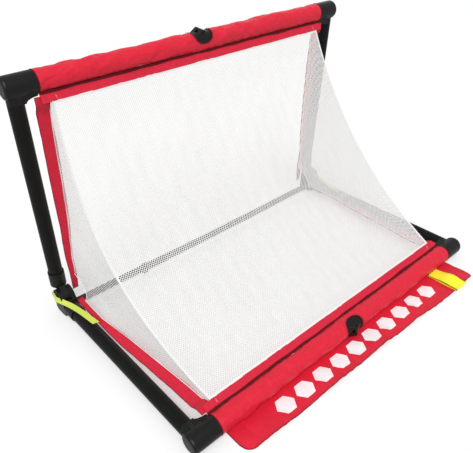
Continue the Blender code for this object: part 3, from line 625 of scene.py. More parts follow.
def sewing_thread(name, code):
    """Bonded polyester thread: a twisted strand with a dull lustre."""
    dark = tuple(c * 0.7 for c in linear(code)[:3])
    return blotched(name, linear(code), (*dark, 1.0), 0.0015, 0.55, sockets={"Sheen Weight": 0.2})


def thread_waves(tree, warp, weft):
    """The UV map's two directions as waves from -1 to 1, a thread of each width apart."""
    spot = node(tree, "ShaderNodeUVMap", uv_map="Cloth").outputs["UV"]
    parts = node(tree, "ShaderNodeSeparateXYZ", {"Vector": spot})
    waves = []
    for axis, pitch in (("X", warp), ("Y", weft)):
        turned = combined(tree, parts.outputs[axis], math.pi / pitch, "MULTIPLY")
        waves.append(node(tree, "ShaderNodeMath", {0: turned}, operation="SINE").outputs[0])
    return waves


def combined(tree, first, second, operation):
    return node(tree, "ShaderNodeMath", {0: first, 1: second}, operation=operation).outputs[0]


def woven(name, light, dark, thread, roughness, sheen, crinkle=0.0):
    """A plain-woven synthetic cloth: threads over and under, slightly uneven in colour, with a soft sheen."""
    material, tree, shader = new_material(name)
    place = node(tree, "ShaderNodeTexCoord").outputs["Object"]
    warp_wave, weft_wave = thread_waves(tree, thread, thread)
    over = combined(tree, warp_wave, weft_wave, "MULTIPLY")
    spread = {"Value": over, "From Min": -1.0, "From Max": 1.0}
    weave = node(tree, "ShaderNodeMapRange", spread).outputs["Result"]
    slub = speckled(tree, place, 0.010, -0.35, 0.35, 4.0)
    share = combined(tree, combined(tree, weave, 0.55, "MULTIPLY"), slub, "ADD")
    clamped = node(tree, "ShaderNodeClamp", {"Value": share}).outputs["Result"]
    tree.links.new(mixed(tree, clamped, light, dark), shader.inputs["Base Color"])
    worn = speckled(tree, place, 0.020, roughness - 0.06, roughness + 0.06)
    tree.links.new(worn, shader.inputs["Roughness"])
    shader.inputs["Sheen Weight"].default_value = sheen
    shader.inputs["Sheen Roughness"].default_value = 0.4
    shader.inputs["IOR"].default_value = 1.5
    shader.inputs["Specular IOR Level"].default_value = 0.25
    height = weave
    if crinkle:
        folds = speckled(tree, place, 0.030, 0.0, crinkle, 2.0)
        height = combined(tree, weave, folds, "ADD")
    bumped(tree, shader, height, 0.00018, 0.8)
    return material


def ribbed(name, light, dark, rib, roughness):
    """Webbing woven with cross ribs, whose colour paints the light: each rib lighter, as a painted highlight,
    and the hollows between darker, as painted shade.
    """
    material, tree, shader = new_material(name)
    place = node(tree, "ShaderNodeTexCoord").outputs["Object"]
    cross, length_wise = thread_waves(tree, rib, rib * 0.6)
    arch = combined(tree, cross, cross, "MULTIPLY")
    fine = combined(tree, combined(tree, length_wise, length_wise, "MULTIPLY"), 0.35, "MULTIPLY")
    height = combined(tree, arch, fine, "ADD")
    slub = speckled(tree, place, 0.006, -0.25, 0.25)
    share = node(tree, "ShaderNodeClamp", {"Value": combined(tree, height, slub, "ADD")}).outputs["Result"]
    # Painted light: the colour follows the rib height, lighter on the ribs and darker in the hollows.
    tree.links.new(mixed(tree, share, dark, light), shader.inputs["Base Color"])
    shader.inputs["Roughness"].default_value = roughness
    shader.inputs["Sheen Weight"].default_value = 0.25
    bumped(tree, shader, height, 0.00030, 0.9)
    return material


def material_named(name):
    """A finish by its plain name, made the first time that it is asked for."""
    c = colours()
    makers = {
        # Steel tube, powder coated black: satin, with a baked coat's orange-peel skin and faint rub marks.
        # Real orange peel is about 0.6 mm across. It is drawn at 1.6 mm so that it shows in a close view.
        "tube": lambda: blotched(
            "powder_coated_steel_tube", c.tube, linear("141413"), 0.045, (0.012, 0.30, 0.46),
            (0.0016, 0.00004, 1.0), {"IOR": 1.5, "Specular IOR Level": 0.15},
        ),
        # Glass-filled nylon, injection moulded black: a fine spark-eroded grain, with shinier rubbed patches.
        # Spark-eroded grain is about 0.3 mm. It is drawn at 0.9 mm.
        "nylon": lambda: blotched(
            "moulded_nylon", c.casting, linear("131312"), 0.020, (0.009, 0.24, 0.50),
            (0.0009, 0.00006, 2.0), {"IOR": 1.53, "Specular IOR Level": 0.26},
        ),
        "zinc": lambda: steel("zinc_plated_steel", "C2C2BC", "A6A69C", 0.24, 0.42),
        "black_steel": lambda: steel("blackened_steel", "3C3C3B", "262626", 0.30, 0.48),
        # Oxford cloth has about 1 mm from thread to thread with its coating, drawn at 1.3 mm.
        "cover": lambda: woven(
            "coated_oxford_cloth", c.cover, c.cover_dark,
            thread=0.0013, roughness=0.42, sheen=0.03, crinkle=8.0,
        ),
        # The tapes' threads are 1 mm apart, drawn at 1.6 mm so that the weave shows.
        "binding": lambda: woven(
            "woven_polyester_binding", c.binding, linear("A8142A"), thread=0.0016, roughness=0.60, sheen=0.05
        ),
        # Dark hem cloth: the hems' own dark red, partly painted shade along the edges, and painted shade in
        # the crease at each tape's root.
        "edge": lambda: woven(
            "hem_and_crease_shade_cloth", c.edge, linear("46040A"), thread=0.0013, roughness=0.65, sheen=0.0
        ),
        # Knotless polyester net: matt white yarn with a faint fuzz and a little unevenness.
        "net": lambda: blotched(
            "knotless_polyester_net", c.net, linear("E0E0DE"), 0.030, 0.80,
            (0.0012, 0.0001, 3.0), {"Sheen Weight": 0.05},
        ),
        "strap": lambda: ribbed(
            "black_polyester_webbing", c.strap, linear("0E0E0E"), rib=0.0022, roughness=0.70
        ),
        "pull": lambda: ribbed(
            "neon_polyester_webbing", c.pull, linear("A9B53C"), rib=0.0026, roughness=0.62
        ),
        "loop": lambda: woven(
            "neon_ripstop_cloth", c.loop, linear("E9DC1C"), thread=0.0015, roughness=0.55, sheen=0.3
        ),
        "red_thread": lambda: sewing_thread("dark_red_thread", "8A1020"),
        "white_thread": lambda: sewing_thread("white_thread", "E2BEC2"),
        "black_thread": lambda: sewing_thread("black_thread", "3A3A3A"),
        "olive_thread": lambda: sewing_thread("olive_thread", "8C8A10"),
        # Plastisol ink screened on the cloth: a flat white film that takes the weave under it.
        "print": lambda: blotched(
            "plastisol_screen_print", c.ink, linear("EADDE0"), 0.015, 0.42, (0.0016, 0.00006, 3.0), most=0.5,
        ),
        # Matt white paint on a smooth floor. It gives off some light of its own, so that the floor stays
        # white in the picture while the lamps suit the goal.
        "floor": lambda: blotched(
            "white_studio_paint", linear("CFCFCF"), linear("CDCDCE"), 0.8, 0.85,
            sockets={"Specular IOR Level": 0.1, "Emission Color": (1, 1, 1, 1), "Emission Strength": 0.34},
        ),
    }
    store = material_named.store
    if name not in store:
        store[name] = makers[name]()
    return store[name]


material_named.store = {}


# Carried-over solids


def finish_frame():
    """Real finishes on the frame's solids. Those that show are merged copies with their edges broken."""
    by_ending = (
        # ending, finish, slot, width of the broken edges
        ("_leg", "tube", "black_powder_coated_tube", 0.0004),
        ("_bar_tube", "tube", "black_powder_coated_tube", 0.0),
        ("_lock_plunger", "zinc", "zinc_plated_steel", 0.0003),
        ("_lock_spring", "zinc", "zinc_plated_steel", 0.0),
        ("_pin", "black_steel", "zinc_plated_steel", 0.0004),
        ("_corner", "nylon", "black_moulded_plastic", 0.0009),
        ("_bar_end", "nylon", "black_moulded_plastic", 0.0006),
        ("_leaf", "nylon", "black_moulded_plastic", 0.0008),
    )
    for name, solid in sorted(frame["nodes"].items()):
        for ending, finish, slot, edge in by_ending:
            if name.endswith(ending):
                piece = solid
                if edge:
                    piece = broken_edges(solid, f"{name}_finished", edge, material_named(finish))
                    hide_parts(name)
                    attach(piece, solid["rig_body"])
                else:
                    solid.data.materials.clear()
                    solid.data.materials.append(material_named(finish))
                break


def broken_edges(solid, name, edge, material):
    """A merged copy of a CAD solid, smooth over its rounds, with its sharp edges broken by this width."""
    bm = bmesh.new()
    bm.from_mesh(solid.data)
    bmesh.ops.remove_doubles(bm, verts=bm.verts, dist=1e-5)
    bmesh.ops.dissolve_limit(bm, angle_limit=math.radians(0.5), verts=bm.verts, edges=bm.edges)
    mesh = bpy.data.meshes.new(name)
    bm.to_mesh(mesh)
    bm.free()
    copy = link(name, mesh)
    with_settings(
        copy.modifiers.new("broken_edges", "BEVEL"),
        width=edge,
        segments=2,
        limit_method="ANGLE",
        angle_limit=math.radians(SHARP_ANGLE),
    )
    dressed(plain(copy), material, SHARP_ANGLE)
    with_settings(copy.modifiers.new("flats", "WEIGHTED_NORMAL"), keep_sharp=True)
    return plain(copy)


def rivets(level, side_name):
    """Rivet heads that hold a leg's tube in its corner and in its hinge collar."""
    side = SIDES[side_name]
    spots, ways = [], []
    for along, radius in ((COLLAR_FROM + COLLAR * 0.62, COLLAR_R), (STUB_END + 0.009, TUBE_R)):
        for turn in (math.pi / 2, -math.pi / 2):
            inward, across = radius * math.cos(turn), radius * math.sin(turn)
            spots.append(in_row(level, side, inward, along, across))
            ways.append(spots[-1] - in_row(level, side, 0.0, along, 0.0))
    mesh = bpy.data.meshes.new("rivet_spots")
    mesh.from_pydata(np.array(spots).tolist(), [], [])
    facing = mesh.attributes.new("facing", "FLOAT_VECTOR", "POINT")
    facing.data.foreach_set("vector", np.array(ways, np.float32).ravel())
    obj = link(f"{level}_{side_name}_rivets", mesh)
    values = {"Radius": 0.0042, "Height": 0.0017, "Material": material_named("black_steel")}
    grown(obj, tree_named("rivet_heads", rivet_tree), values)
    obj.data.shade_smooth()
    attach(obj, f"{level}_{side_name}_side")


# Padded sleeves


def pull_to_window(x, turn):
    """Moves spots near the window's edge on to it, in (along the bar, round the bar)."""
    for _ in range(6):
        drop = BAR_R * (1 - np.cos(turn))
        level = (x / WINDOW_HALF) ** 2 + (drop / WINDOW_DEPTH) ** 2 - 1
        slope_x = 2 * x / WINDOW_HALF**2
        slope_turn = 2 * drop / WINDOW_DEPTH**2 * np.sin(turn)  # for each metre round the bar
        scale = level / np.maximum(slope_x**2 + slope_turn**2, 1e-3)
        x = x - scale * slope_x
        turn = turn - scale * slope_turn / BAR_R
    return x, turn


def sleeve_radius(x, turn, seam):
    """The sleeve's radius before its padding swells: drawn in along the seam, with puckers beside it."""
    off = np.abs((turn - seam + math.pi) % (2 * math.pi) - math.pi) * BAR_R
    far = np.abs(x)
    shy = ramp(far - 0.070, 0.03) * ramp(SHOULDER_FROM - far, 0.03)
    groove = (0.0010 + 0.0028 * shy) * bell(off, 0.0045)
    gather = 0.0006 * bell(off, 0.016) * np.sin(2 * math.pi * x / 0.027 + 3 * np.sin(x * 19))
    spots = np.stack([x, BAR_R * np.cos(turn), BAR_R * np.sin(turn)], -1)
    dents = 0.0013 * swell(spots * (0.5, 1, 1), 0.045, 5) + 0.0007 * swell(spots * (1.6, 1, 1), 0.040, 6)
    # Long thin creases run where this slow noise crosses zero.
    dents = dents - 0.0017 * bell(swell(spots * (0.33, 1, 1), 0.040, 9), 0.13)
    return BAR_R - groove + (gather + dents) * ramp(0.545 - far, 0.02)


def simulate_padding(obj, pinned):
    """Swells a sleeve with Blender's cloth: the stuffing presses out while its seam, ends and window hold."""
    group = obj.vertex_groups.new(name="pinned")
    group.add(pinned, 1.0, "REPLACE")
    padding = obj.modifiers.new("padding", "CLOTH")
    with_settings(
        padding.settings,
        quality=5,
        mass=0.25,
        tension_stiffness=12,
        compression_stiffness=12,
        shear_stiffness=4,
        bending_stiffness=0.6,
        shrink_min=-0.018,
        use_pressure=True,
        uniform_pressure_force=2.0,
        vertex_group_mass="pinned",
    )
    padding.settings.effector_weights.gravity = 0
    with_settings(padding.point_cache, frame_start=1, frame_end=PADDING_STEPS)
    for step in range(1, PADDING_STEPS + 1):
        bpy.context.scene.frame_set(step)
    plain(obj)
    bpy.context.scene.frame_set(1)


def keep_round(obj, level, seam):
    """Caps how far the padding moved, measured from the bar's axis."""
    out, over = (np.array(a) for a in AXES[level])
    co = spots_of(obj.data)
    axis = np.array(HINGE_LINE) + out * LEG
    arm = co[:, 1:] - axis
    radius = np.linalg.norm(arm, axis=1)
    turn = np.arctan2(arm @ over, arm @ out)
    slack, hinge_half = 0.0010, 0.045
    least = sleeve_radius(co[:, 0], turn, seam) - slack
    firm = (np.abs(co[:, 0]) < hinge_half) | (np.abs(co[:, 0]) > SHOULDER_FROM)
    least = np.where(firm, np.maximum(least, SHOULDER_R), least)
    fixed = np.clip(radius, least, BAR_R + sizes().pad_swell)
    co[:, 1:] = axis + arm * (fixed / radius)[:, None]
    if level == "lower":  # the sleeve rests on the floor, which flattens it there
        co[:, 2] = np.maximum(co[:, 2], 0.0004)
    move_to(obj.data, co)


def boundary_loops(mesh):
    """The open edges of a mesh, as closed loops of vertex positions."""
    bm = bmesh.new()
    bm.from_mesh(mesh)
    ahead = {}
    for edge in bm.edges:
        if edge.is_boundary:
            a, b = edge.verts
            ahead.setdefault(a.index, []).append(b.index)
            ahead.setdefault(b.index, []).append(a.index)
    places = [tuple(v.co) for v in bm.verts]
    bm.free()
    loops, seen = [], set()
    for start in sorted(ahead):
        if start in seen:
            continue
        loop, here = [], start
        while here is not None:
            loop.append(here)
            seen.add(here)
            here = next((n for n in ahead[here] if n not in seen), None)
        loops.append(np.array([places[k] for k in loop]))
    return loops


def sleeve_cover(level):
    """The padded sleeve over one crossbar and its middle hinge, with a hemmed window in its outer side."""
    seam = math.atan2(*tape_direction()[::-1])
    fine_half = 0.048  # the rows of points lie closer together round the window
    middle = np.arange(-fine_half, fine_half + 0.0001, 0.0032)
    beyond = np.linspace(fine_half, SLEEVE_END, 74)[1:]
    along = np.concatenate([-beyond[::-1], middle, beyond])
    count = 44
    turns = seam + np.arange(count) * 2 * math.pi / count
    x, turn = np.meshgrid(along, (turns + math.pi) % (2 * math.pi) - math.pi, indexing="ij")

    def inside(px, pt):
        return (px / WINDOW_HALF) ** 2 + (BAR_R * (1 - np.cos(pt)) / WINDOW_DEPTH) ** 2 < 1

    nearer = np.abs(turn) < math.pi / 2
    centre_x = (x[:-1] + x[1:]) / 2
    centre_turn = turn[:-1] + math.pi / count
    hole = inside(centre_x, centre_turn) & (np.abs(centre_turn) < math.pi / 2)
    touches_hole, touches_kept = np.zeros((2, *x.shape), bool)
    for dr in (0, 1):
        for dc in (0, 1):
            cells = np.roll(hole, dc, axis=1)
            touches_hole[dr : dr + len(hole)] |= cells
            touches_kept[dr : dr + len(hole)] |= ~cells
    rim = touches_hole & touches_kept & nearer
    moved_x, moved_turn = pull_to_window(x, turn)
    x, turn = np.where(rim, moved_x, x), np.where(rim, moved_turn, turn)
    radius = sleeve_radius(x, turn, seam)
    radius = np.where(rim, np.minimum(radius, BAR_R - 0.0004), radius)
    points = at_x(level, x, LEG + radius * np.cos(turn), radius * np.sin(turn))
    round_run = np.arange(count + 1) * 2 * math.pi * BAR_R / count
    uv = np.stack(np.broadcast_arrays(along[:, None], round_run[None, :]), -1)
    name = f"{level}_sleeve_cover"
    obj = cloth_grid(name, points, uv, round_about=True, keep=~hole)
    flip_outwards(obj, at_x(level, 0.3, LEG, 0.0))
    firm = points[rim | (np.abs(x) > SLEEVE_END - 1e-6)]
    held = {rounded(spot) for spot in (*firm, *points[:, 0])}
    simulate_padding(obj, [v.index for v in obj.data.vertices if rounded(v.co) in held])
    keep_round(obj, level, seam)
    with_settings(obj.modifiers.new("smooth", "SUBSURF"), levels=1, render_levels=1)
    plain(obj)
    keep_round(obj, level, seam)
    loops = boundary_loops(obj.data)
    dressed(plain(walled(obj, SLEEVE_CLOTH, -1)), material_named("cover"))
    hems = [cord(f"{name}_hem_{k}", loop, 0.0016, "edge", True, 8) for k, loop in enumerate(loops)]
    window = min(loops, key=lambda loop: np.abs(loop[:, 0]).max())
    sewn = stitches(f"{name}_stitches", [window_stitch_line(window, level)], "red_thread", pitch=0.0055)
    joined(obj, *hems, sewn)
    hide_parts(f"{level}_left_sleeve", f"{level}_right_sleeve")
    ends = [tuple(at_x(level, x_at, LEG, 0.0)) for x_at in (-0.04, 0.04)]
    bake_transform(obj)


def rounded(spot):
    return tuple(np.round(np.array(spot), 6))


def window_stitch_line(window, level):
    """The window's edge moved 6 mm out over the sleeve, closed."""
    spread = window + unit(window - window.mean(axis=0)) * 0.006
    axis = at_x(level, spread[:, 0], LEG, 0.0)
    line = axis + unit(spread - axis) * (BAR_R + SLEEVE_CLOTH)
    return np.concatenate([line, line[:1]])


def flip_outwards(obj, inside):
    """Turns the faces of a tube so that they point away from a spot inside it."""
    with edited(obj.data) as bm:
        nearest = min(bm.faces, key=lambda f: (f.calc_center_median() - Vector(inside)).length)
        if nearest.normal.dot(nearest.calc_center_median() - Vector(inside)) < 0:
            bmesh.ops.reverse_faces(bm, faces=bm.faces)


# Tapes and strips


def tape_points(level, x, reach, lift):
    """Points in the header tape's plane at this reach from the crossbar's axis, and this far off it."""
    out = tape_direction()
    side = np.array([out[1], -out[0]])
    spot = out * reach[..., None] + side * lift[..., None]
    return at_x(level, x, LEG + spot[..., 0], spot[..., 1])


def tape_crease_shade(name, level, x):
    """The sleeve's folded hem along the tape's root, gripped unevenly, in a dark cloth that paints the shade
    of the crease between the sleeve and the tape.
    """
    tuck = 0.0020
    grip = 0.0062 + 0.0020 * uneven(x, 0.12, 13)
    reach = BAR_R - tuck + (grip[:, None] + tuck) * np.linspace(0, 1, 6)
    xx = np.broadcast_to(x[:, None], reach.shape)
    uv = np.stack([xx, reach], -1)
    points = tape_points(level, xx, reach, 0.0004 * swell(uv, 0.05, 14))
    return cloth(f"{name}_fold", points, uv, "edge", 0.0036)


def gathers(obj, anchor_x=BUNCH_X, keep=BUNCH_SHARE):
    """Gives a piece its own copy of its mesh; the cloth doesn't bunch up as the crossbars fold, and anchor_x
    and keep are not used.
    """
    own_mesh(obj)


def header_tape(level):
    """The woven tape between one sleeve and the back net, sewn to the net with two rows."""
    name = f"{level}_header_cloth"
    tuck, lap = 0.0030, 0.0008
    x = np.linspace(-TAPE_END, TAPE_END, 240)
    xx, rr = np.meshgrid(x, np.linspace(BAR_R - tuck, NET_FROM + lap, 7), indexing="ij")
    rise = ramp(rr - BAR_R, TAPE)
    slow = 0.0011 * swell(np.stack([xx, rr], -1), 0.075, 11)
    wave = (slow + 0.0003 * np.sin(xx * 2 * math.pi / 0.031)) * rise
    rr = rr + 0.0005 * uneven(xx, 0.14, 12) * rise
    points = tape_points(level, xx, rr, wave)
    obj = cloth(name, points, np.stack([xx, rr], -1), "binding")
    root, far = points[3:-3, 0], points[3:-3, -1]
    deep = 0.032
    rows = [far + (root - far) * (back / deep) for back in (0.0025, 0.0085)]
    sewn = stitches(f"{name}_rows", rows, "red_thread")
    tacks = [zigzag(points[end, 3], points[end, 5], (1, 0, 0), 0.005, 5) for end in (9, -10)]
    tack = stitches(f"{name}_tacks", tacks, "white_thread", pitch=0.0022, long=0.0026, thread=0.0015)
    # The dark strip at the tape's root is painted shade for the crease.
    joined(obj, sewn, tape_crease_shade(name, level, x), tack)
    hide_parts(f"{level}_left_header_tape", f"{level}_right_header_tape")
    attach(obj, f"back_net_{level}")
    gathers(obj)


STRIP_EDGES = {
    # place along the leg, then the strip's outer and inner edge, measured inward from the leg's axis
    "upper": (
        (0.020, 0.0420, 0.0600),
        (0.070, 0.0420, 0.0640),
        (0.150, 0.0390, 0.0630),
        (0.300, 0.0420, 0.0750),
        (0.450, 0.0420, 0.0820),
        (0.6300, 0.0445, 0.0835),
        (0.7175, 0.0430, 0.0800),
    ),
    "lower": (
        (0.058, 0.0268, 0.0500),
        (0.200, 0.0250, 0.0470),
        (0.330, 0.0255, 0.0620),
        (0.480, 0.0355, 0.0735),
        (0.630, 0.0440, 0.0860),
        (0.7175, 0.0450, 0.0840),
    ),
}


def smooth_between(at, knots, values):
    """Values on a smooth curve through the knots."""
    at = np.asarray(at, float)
    k = np.clip(np.searchsorted(knots, at) - 1, 0, len(knots) - 2)
    slope = np.gradient(values, knots)
    h = knots[k + 1] - knots[k]
    t = (at - knots[k]) / h
    a, b = values[k], values[k + 1]
    return (
        a * (1 + 2 * t) * (1 - t) ** 2
        + b * t**2 * (3 - 2 * t)
        + h * slope[k] * t * (1 - t) ** 2
        - h * slope[k + 1] * t**2 * (1 - t)
    )


def strip(level, side_name, seed):
    """The binding along one leg, narrow at the hinge and wide at the sleeve, with bound edges."""
    side = SIDES[side_name]
    name = f"{level}_{side_name}_strip_cloth"
    knots, outer_at, inner_at = np.array(STRIP_EDGES[level]).T
    along = np.linspace(knots[0], STRIP_END, 120)
    lean = 0.0008 * uneven(along, 0.12, seed, seed)
    outer = smooth_between(along, knots, outer_at) + np.abs(lean)
    inner = smooth_between(along, knots, inner_at) + lean
    shares = np.linspace(0, 1, 8)
    inward = outer[:, None] + (inner - outer)[:, None] * shares
    aa = np.broadcast_to(along[:, None], inward.shape)
    spots = np.stack([aa, inward], -1)
    fine = 0.0004 * np.sin(aa * 2 * math.pi / 0.037) * (shares - 0.5)
    ripple = 0.0009 * swell(spots, 0.070, seed + 20) + fine
    climb = ramp(aa - 0.662, 0.036)
    over_gusset = (GUSSET_RISE - STRIP_RISE) * climb**2 * (3 - 2 * climb)
    across = STRIP_RISE + 0.0008 + np.maximum(ripple, -0.0006) + over_gusset
    points = in_row(level, side, inward, aa, across)
    obj = cloth(name, points, spots, "binding")
    edges = enumerate((0, -1))
    trims = [cord(f"{name}_edge_{k}", points[:, column], 0.0010, "edge") for k, column in edges]
    sewn = stitches(f"{name}_rows", [points[2:-4, column] for column in (1, -2)], "red_thread")
    joined(obj, *trims, sewn)
    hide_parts(f"{level}_{side_name}_strip")
    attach(obj, f"{level}_{side_name}_side")
    beside_leg = side * (WIDTH / 2 - TUBE_R - 0.0006)
    gathers(obj, beside_leg, 0.03)


# Nets


def perforated(obj, open_cell):
    """Cuts the net's holes in the faces that are marked."""
    mark = obj.data.attributes.new("open_cell", "BOOLEAN", "FACE")
    mark.data.foreach_set("value", open_cell)
    values = {"Hole share": sizes().hole_share, "Material": material_named("net")}
    grown(obj, tree_named("net_perforation", perforation_tree), values)
    left = obj.data.attributes.get("open_cell")
    if left:
        obj.data.attributes.remove(left)
    return obj


def back_net(level):
    """One half of the slanted net: diamonds from the header tape to the middle, with seams at its sides."""
    name = f"{level}_back_mesh"
    pitch = sizes().net_pitch
    columns = 2 * round(NET_WIDE / pitch)
    rows = 2 * round(NET_DEEP / pitch)
    last = rows - 1 if level == "upper" else rows
    p, q = np.meshgrid(np.arange(columns + 1), np.arange(rows + 2), indexing="ij")
    share = q / rows if level == "upper" else 2 - q / rows
    section = net_section(share)
    edge = net_edge(share)
    x = (2 * p / columns - 1) * edge
    step = 0.002
    slope = net_section(np.clip(share + step, 0, 2)) - net_section(np.clip(share - step, 0, 2))
    normal = unit(np.stack([-slope[..., 1], slope[..., 0]], -1))
    inner = np.clip(np.minimum(share, 2 - share) * 6, 0, 1) * ramp(edge - np.abs(x), 0.06)
    spots = np.stack([x, section[..., 0], section[..., 1]], -1)
    push = inner * (0.0045 * swell(spots, 0.33, 31) + 0.0012 * swell(spots * (1, 0.35, 0.35), 0.05, 32))
    points = np.concatenate([x[..., None], section + normal * push[..., None]], -1)
    faces, marks = [], []
    for a in range(columns + 1):
        for b in range((a + 1) % 2, last + 1, 2):
            around = ((a - 1, b), (a, b - 1), (a + 1, b), (a, b + 1))
            corners = [c * (rows + 2) + d for c, d in around if 0 <= c <= columns and d >= 0]
            if len(corners) > 2:
                faces.append(corners if level == "upper" else corners[::-1])
                marks.append(1 < a < columns - 1 and b > 1)
    mesh = bpy.data.meshes.new(name)
    mesh.from_pydata(points.reshape(-1, 3).tolist(), [], faces)
    with edited(mesh) as bm:
        bmesh.ops.delete(bm, geom=[v for v in bm.verts if not v.link_faces], context="VERTS")
    obj = perforated(link(name, mesh), marks)
    obj.data.shade_smooth()
    paths = enumerate(points[column, : rows + 1][::3] for column in (0, columns))
    joined(obj, *[cord(f"{name}_seam_{k}", path, 0.0010, "net", sides=8) for k, path in paths])
    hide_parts(f"{level}_back_net")
    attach(obj, f"back_net_{level}")
    gathers(obj)


def side_net_inward(s, reach, turn_share, bump):
    """How far in from the legs a side net hangs: along the strips at its rims, and at its far fold."""
    inward = NET_SIDE_AT_HINGE + (NET_SIDE - NET_SIDE_AT_HINGE) * s - bump * s**2
    total = inward
    for level, off in (("lower", turn_share), ("upper", 1 - turn_share)):
        knots, _, inner = np.array(STRIP_EDGES[level]).T
        sewn = np.interp(reach, knots, inner) - 0.004
        total = total + (sewn - inward) * bell(off, 0.20) * (1 - np.clip(s, 0, 1) ** 4)
    return total


def side_net(side_name):
    """The net between a side's two legs: an even lattice trimmed to the strips and to the back net's fold."""
    side = SIDES[side_name]
    half_pitch = sizes().net_pitch / 2
    # The outer edge in polar terms about the hinge line, with a turn of 0 along the lower leg
    share = np.linspace(2, 0, 161)
    fold = net_section(share) - np.array(HINGE_LINE)
    out, over = (np.array(a) for a in AXES["upper"])
    first = np.array([-NET_RIM, SIDE_NET_RISE])
    last = out * NET_RIM + over * SIDE_NET_RISE
    edge = np.vstack([first, fold, last])
    edge_share = np.concatenate([[2], share, [0]])
    edge_turn = np.arctan2(edge[:, 1], -edge[:, 0])
    edge_reach = np.linalg.norm(edge, axis=1)

    lattice = np.arange(-6, 240)
    p, q = np.meshgrid(lattice, lattice, indexing="ij")
    y, z = -p * half_pitch, q * half_pitch
    cell = ((p + q) % 2 == 1)[1:-1, 1:-1]

    def limits(y, z):
        """Turn and reach about the hinge line, and the outline's reach at that turn."""
        turn = np.arctan2(z, -y)
        return turn, np.hypot(y, z), np.interp(turn, edge_turn, edge_reach)

    turn, reach, most = limits(y, z)
    upper = y * over[0] + z * over[1]
    good = (z > SIDE_NET_RISE) & (upper > SIDE_NET_RISE) & (reach < most) & (reach > SIDE_NET_FROM)
    cp, cq = (k + 1 for k in np.nonzero(cell & good[1:-1, 1:-1]))
    width = p.shape[1]
    middle = cp * width + cq
    faces = np.stack([middle - width, middle - 1, middle + width, middle + 1], -1)
    inside = good.ravel()[faces].all(axis=1)
    on_upper = turn[cp, cq] > OPEN_ANGLE / 2
    # Corners outside the outline are brought back on to it.
    z = np.maximum(z, SIDE_NET_RISE)
    short = np.maximum(SIDE_NET_RISE - (y * over[0] + z * over[1]), 0)
    y, z = y + over[0] * short, z + over[1] * short
    _, reach, most = limits(y, z)
    scale = np.clip(reach, SIDE_NET_FROM, most) / np.maximum(reach, 1e-6)
    y, z = y * scale, z * scale
    turn, reach, most = limits(y, z)
    s = np.clip(reach / most, 0, 1)
    bump = net_edge(np.interp(turn, edge_turn, edge_share)) - (WIDTH / 2 - NET_SIDE)
    inward = side_net_inward(s, reach, turn / OPEN_ANGLE, bump)
    spots = np.stack([y, z], -1)
    fan = 0.0012 * swell(np.stack([turn * 0.35, s * 0.1], -1), 0.16, 41 + side)
    soft = 0.0025 * swell(spots, 0.21, 43 + side)
    x = side * (WIDTH / 2 - inward + (fan + soft) * np.sin(math.pi * s))
    points = np.stack([x, y + HINGE_LINE[0], z + HINGE_LINE[1]], -1)
    if side > 0:
        faces = faces[:, ::-1]
    for level in ("lower", "upper"):
        half = on_upper == (level == "upper")
        side_net_half(level, side_name, points.reshape(-1, 3), faces[half], inside[half])


def side_net_half(level, side_name, points, faces, inside):
    """The half of a side net that belongs to one frame and rides with it; it doesn't lie down on the frame as
    the side hinge closes.
    """
    side = SIDES[side_name]
    name = f"{level}_{side_name}_side_mesh"
    obj = perforated(made(name, points, faces), inside)
    obj.data.shade_smooth()
    share = np.linspace(2, 1, 60) if level == "lower" else np.linspace(1, 0, 60)
    fold = np.concatenate([(side * net_edge(share))[:, None], net_section(share)], -1)
    run = np.linspace(SIDE_NET_FROM, NET_RIM - 0.004, 60)
    turn_share = 0.0 if level == "lower" else 1.0
    inward = side_net_inward(run / NET_RIM, run, turn_share, net_edge(0.0) - (WIDTH / 2 - NET_SIDE))
    rim = in_row(level, side, inward, run, SIDE_NET_RISE)
    turn = np.linspace(0.14, OPEN_ANGLE / 2, 14)
    arc = SIDE_NET_FROM * np.cos(turn), SIDE_NET_FROM * np.sin(turn)
    inner = in_row(level, side, NET_SIDE_AT_HINGE, *arc)
    hems = enumerate(((fold, 0.0010), (rim, 0.0013), (inner, 0.0012)))
    joined(obj, *[cord(f"{name}_hem_{k}", path, radius, "net") for k, (path, radius) in hems])
    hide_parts(f"{side_name}_side_net")
    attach(obj, f"{level}_{side_name}_side")
    ground = tuple(in_row(level, side, 0.0, 0.0, SIDE_NET_RISE))
    up = in_row(level, side, 0.0, 0.0, 1.0) - in_row(level, side, 0.0, 0.0, 0.0)
    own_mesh(obj)


# Webbing


def band(name, middle, thick):
    """A flat upright length of webbing along rows of middle points."""
    offset = np.broadcast_to(WEB_TALL * np.linspace(-0.5, 0.5, 7), (len(middle), 7))
    points = middle[:, None, :] + offset[..., None] * np.array([0.0, 0.0, 1.0])
    uv = np.stack([np.broadcast_to(run_of(middle)[:, None], offset.shape), offset], -1)
    return cloth(name, points, uv, "strap", thick)


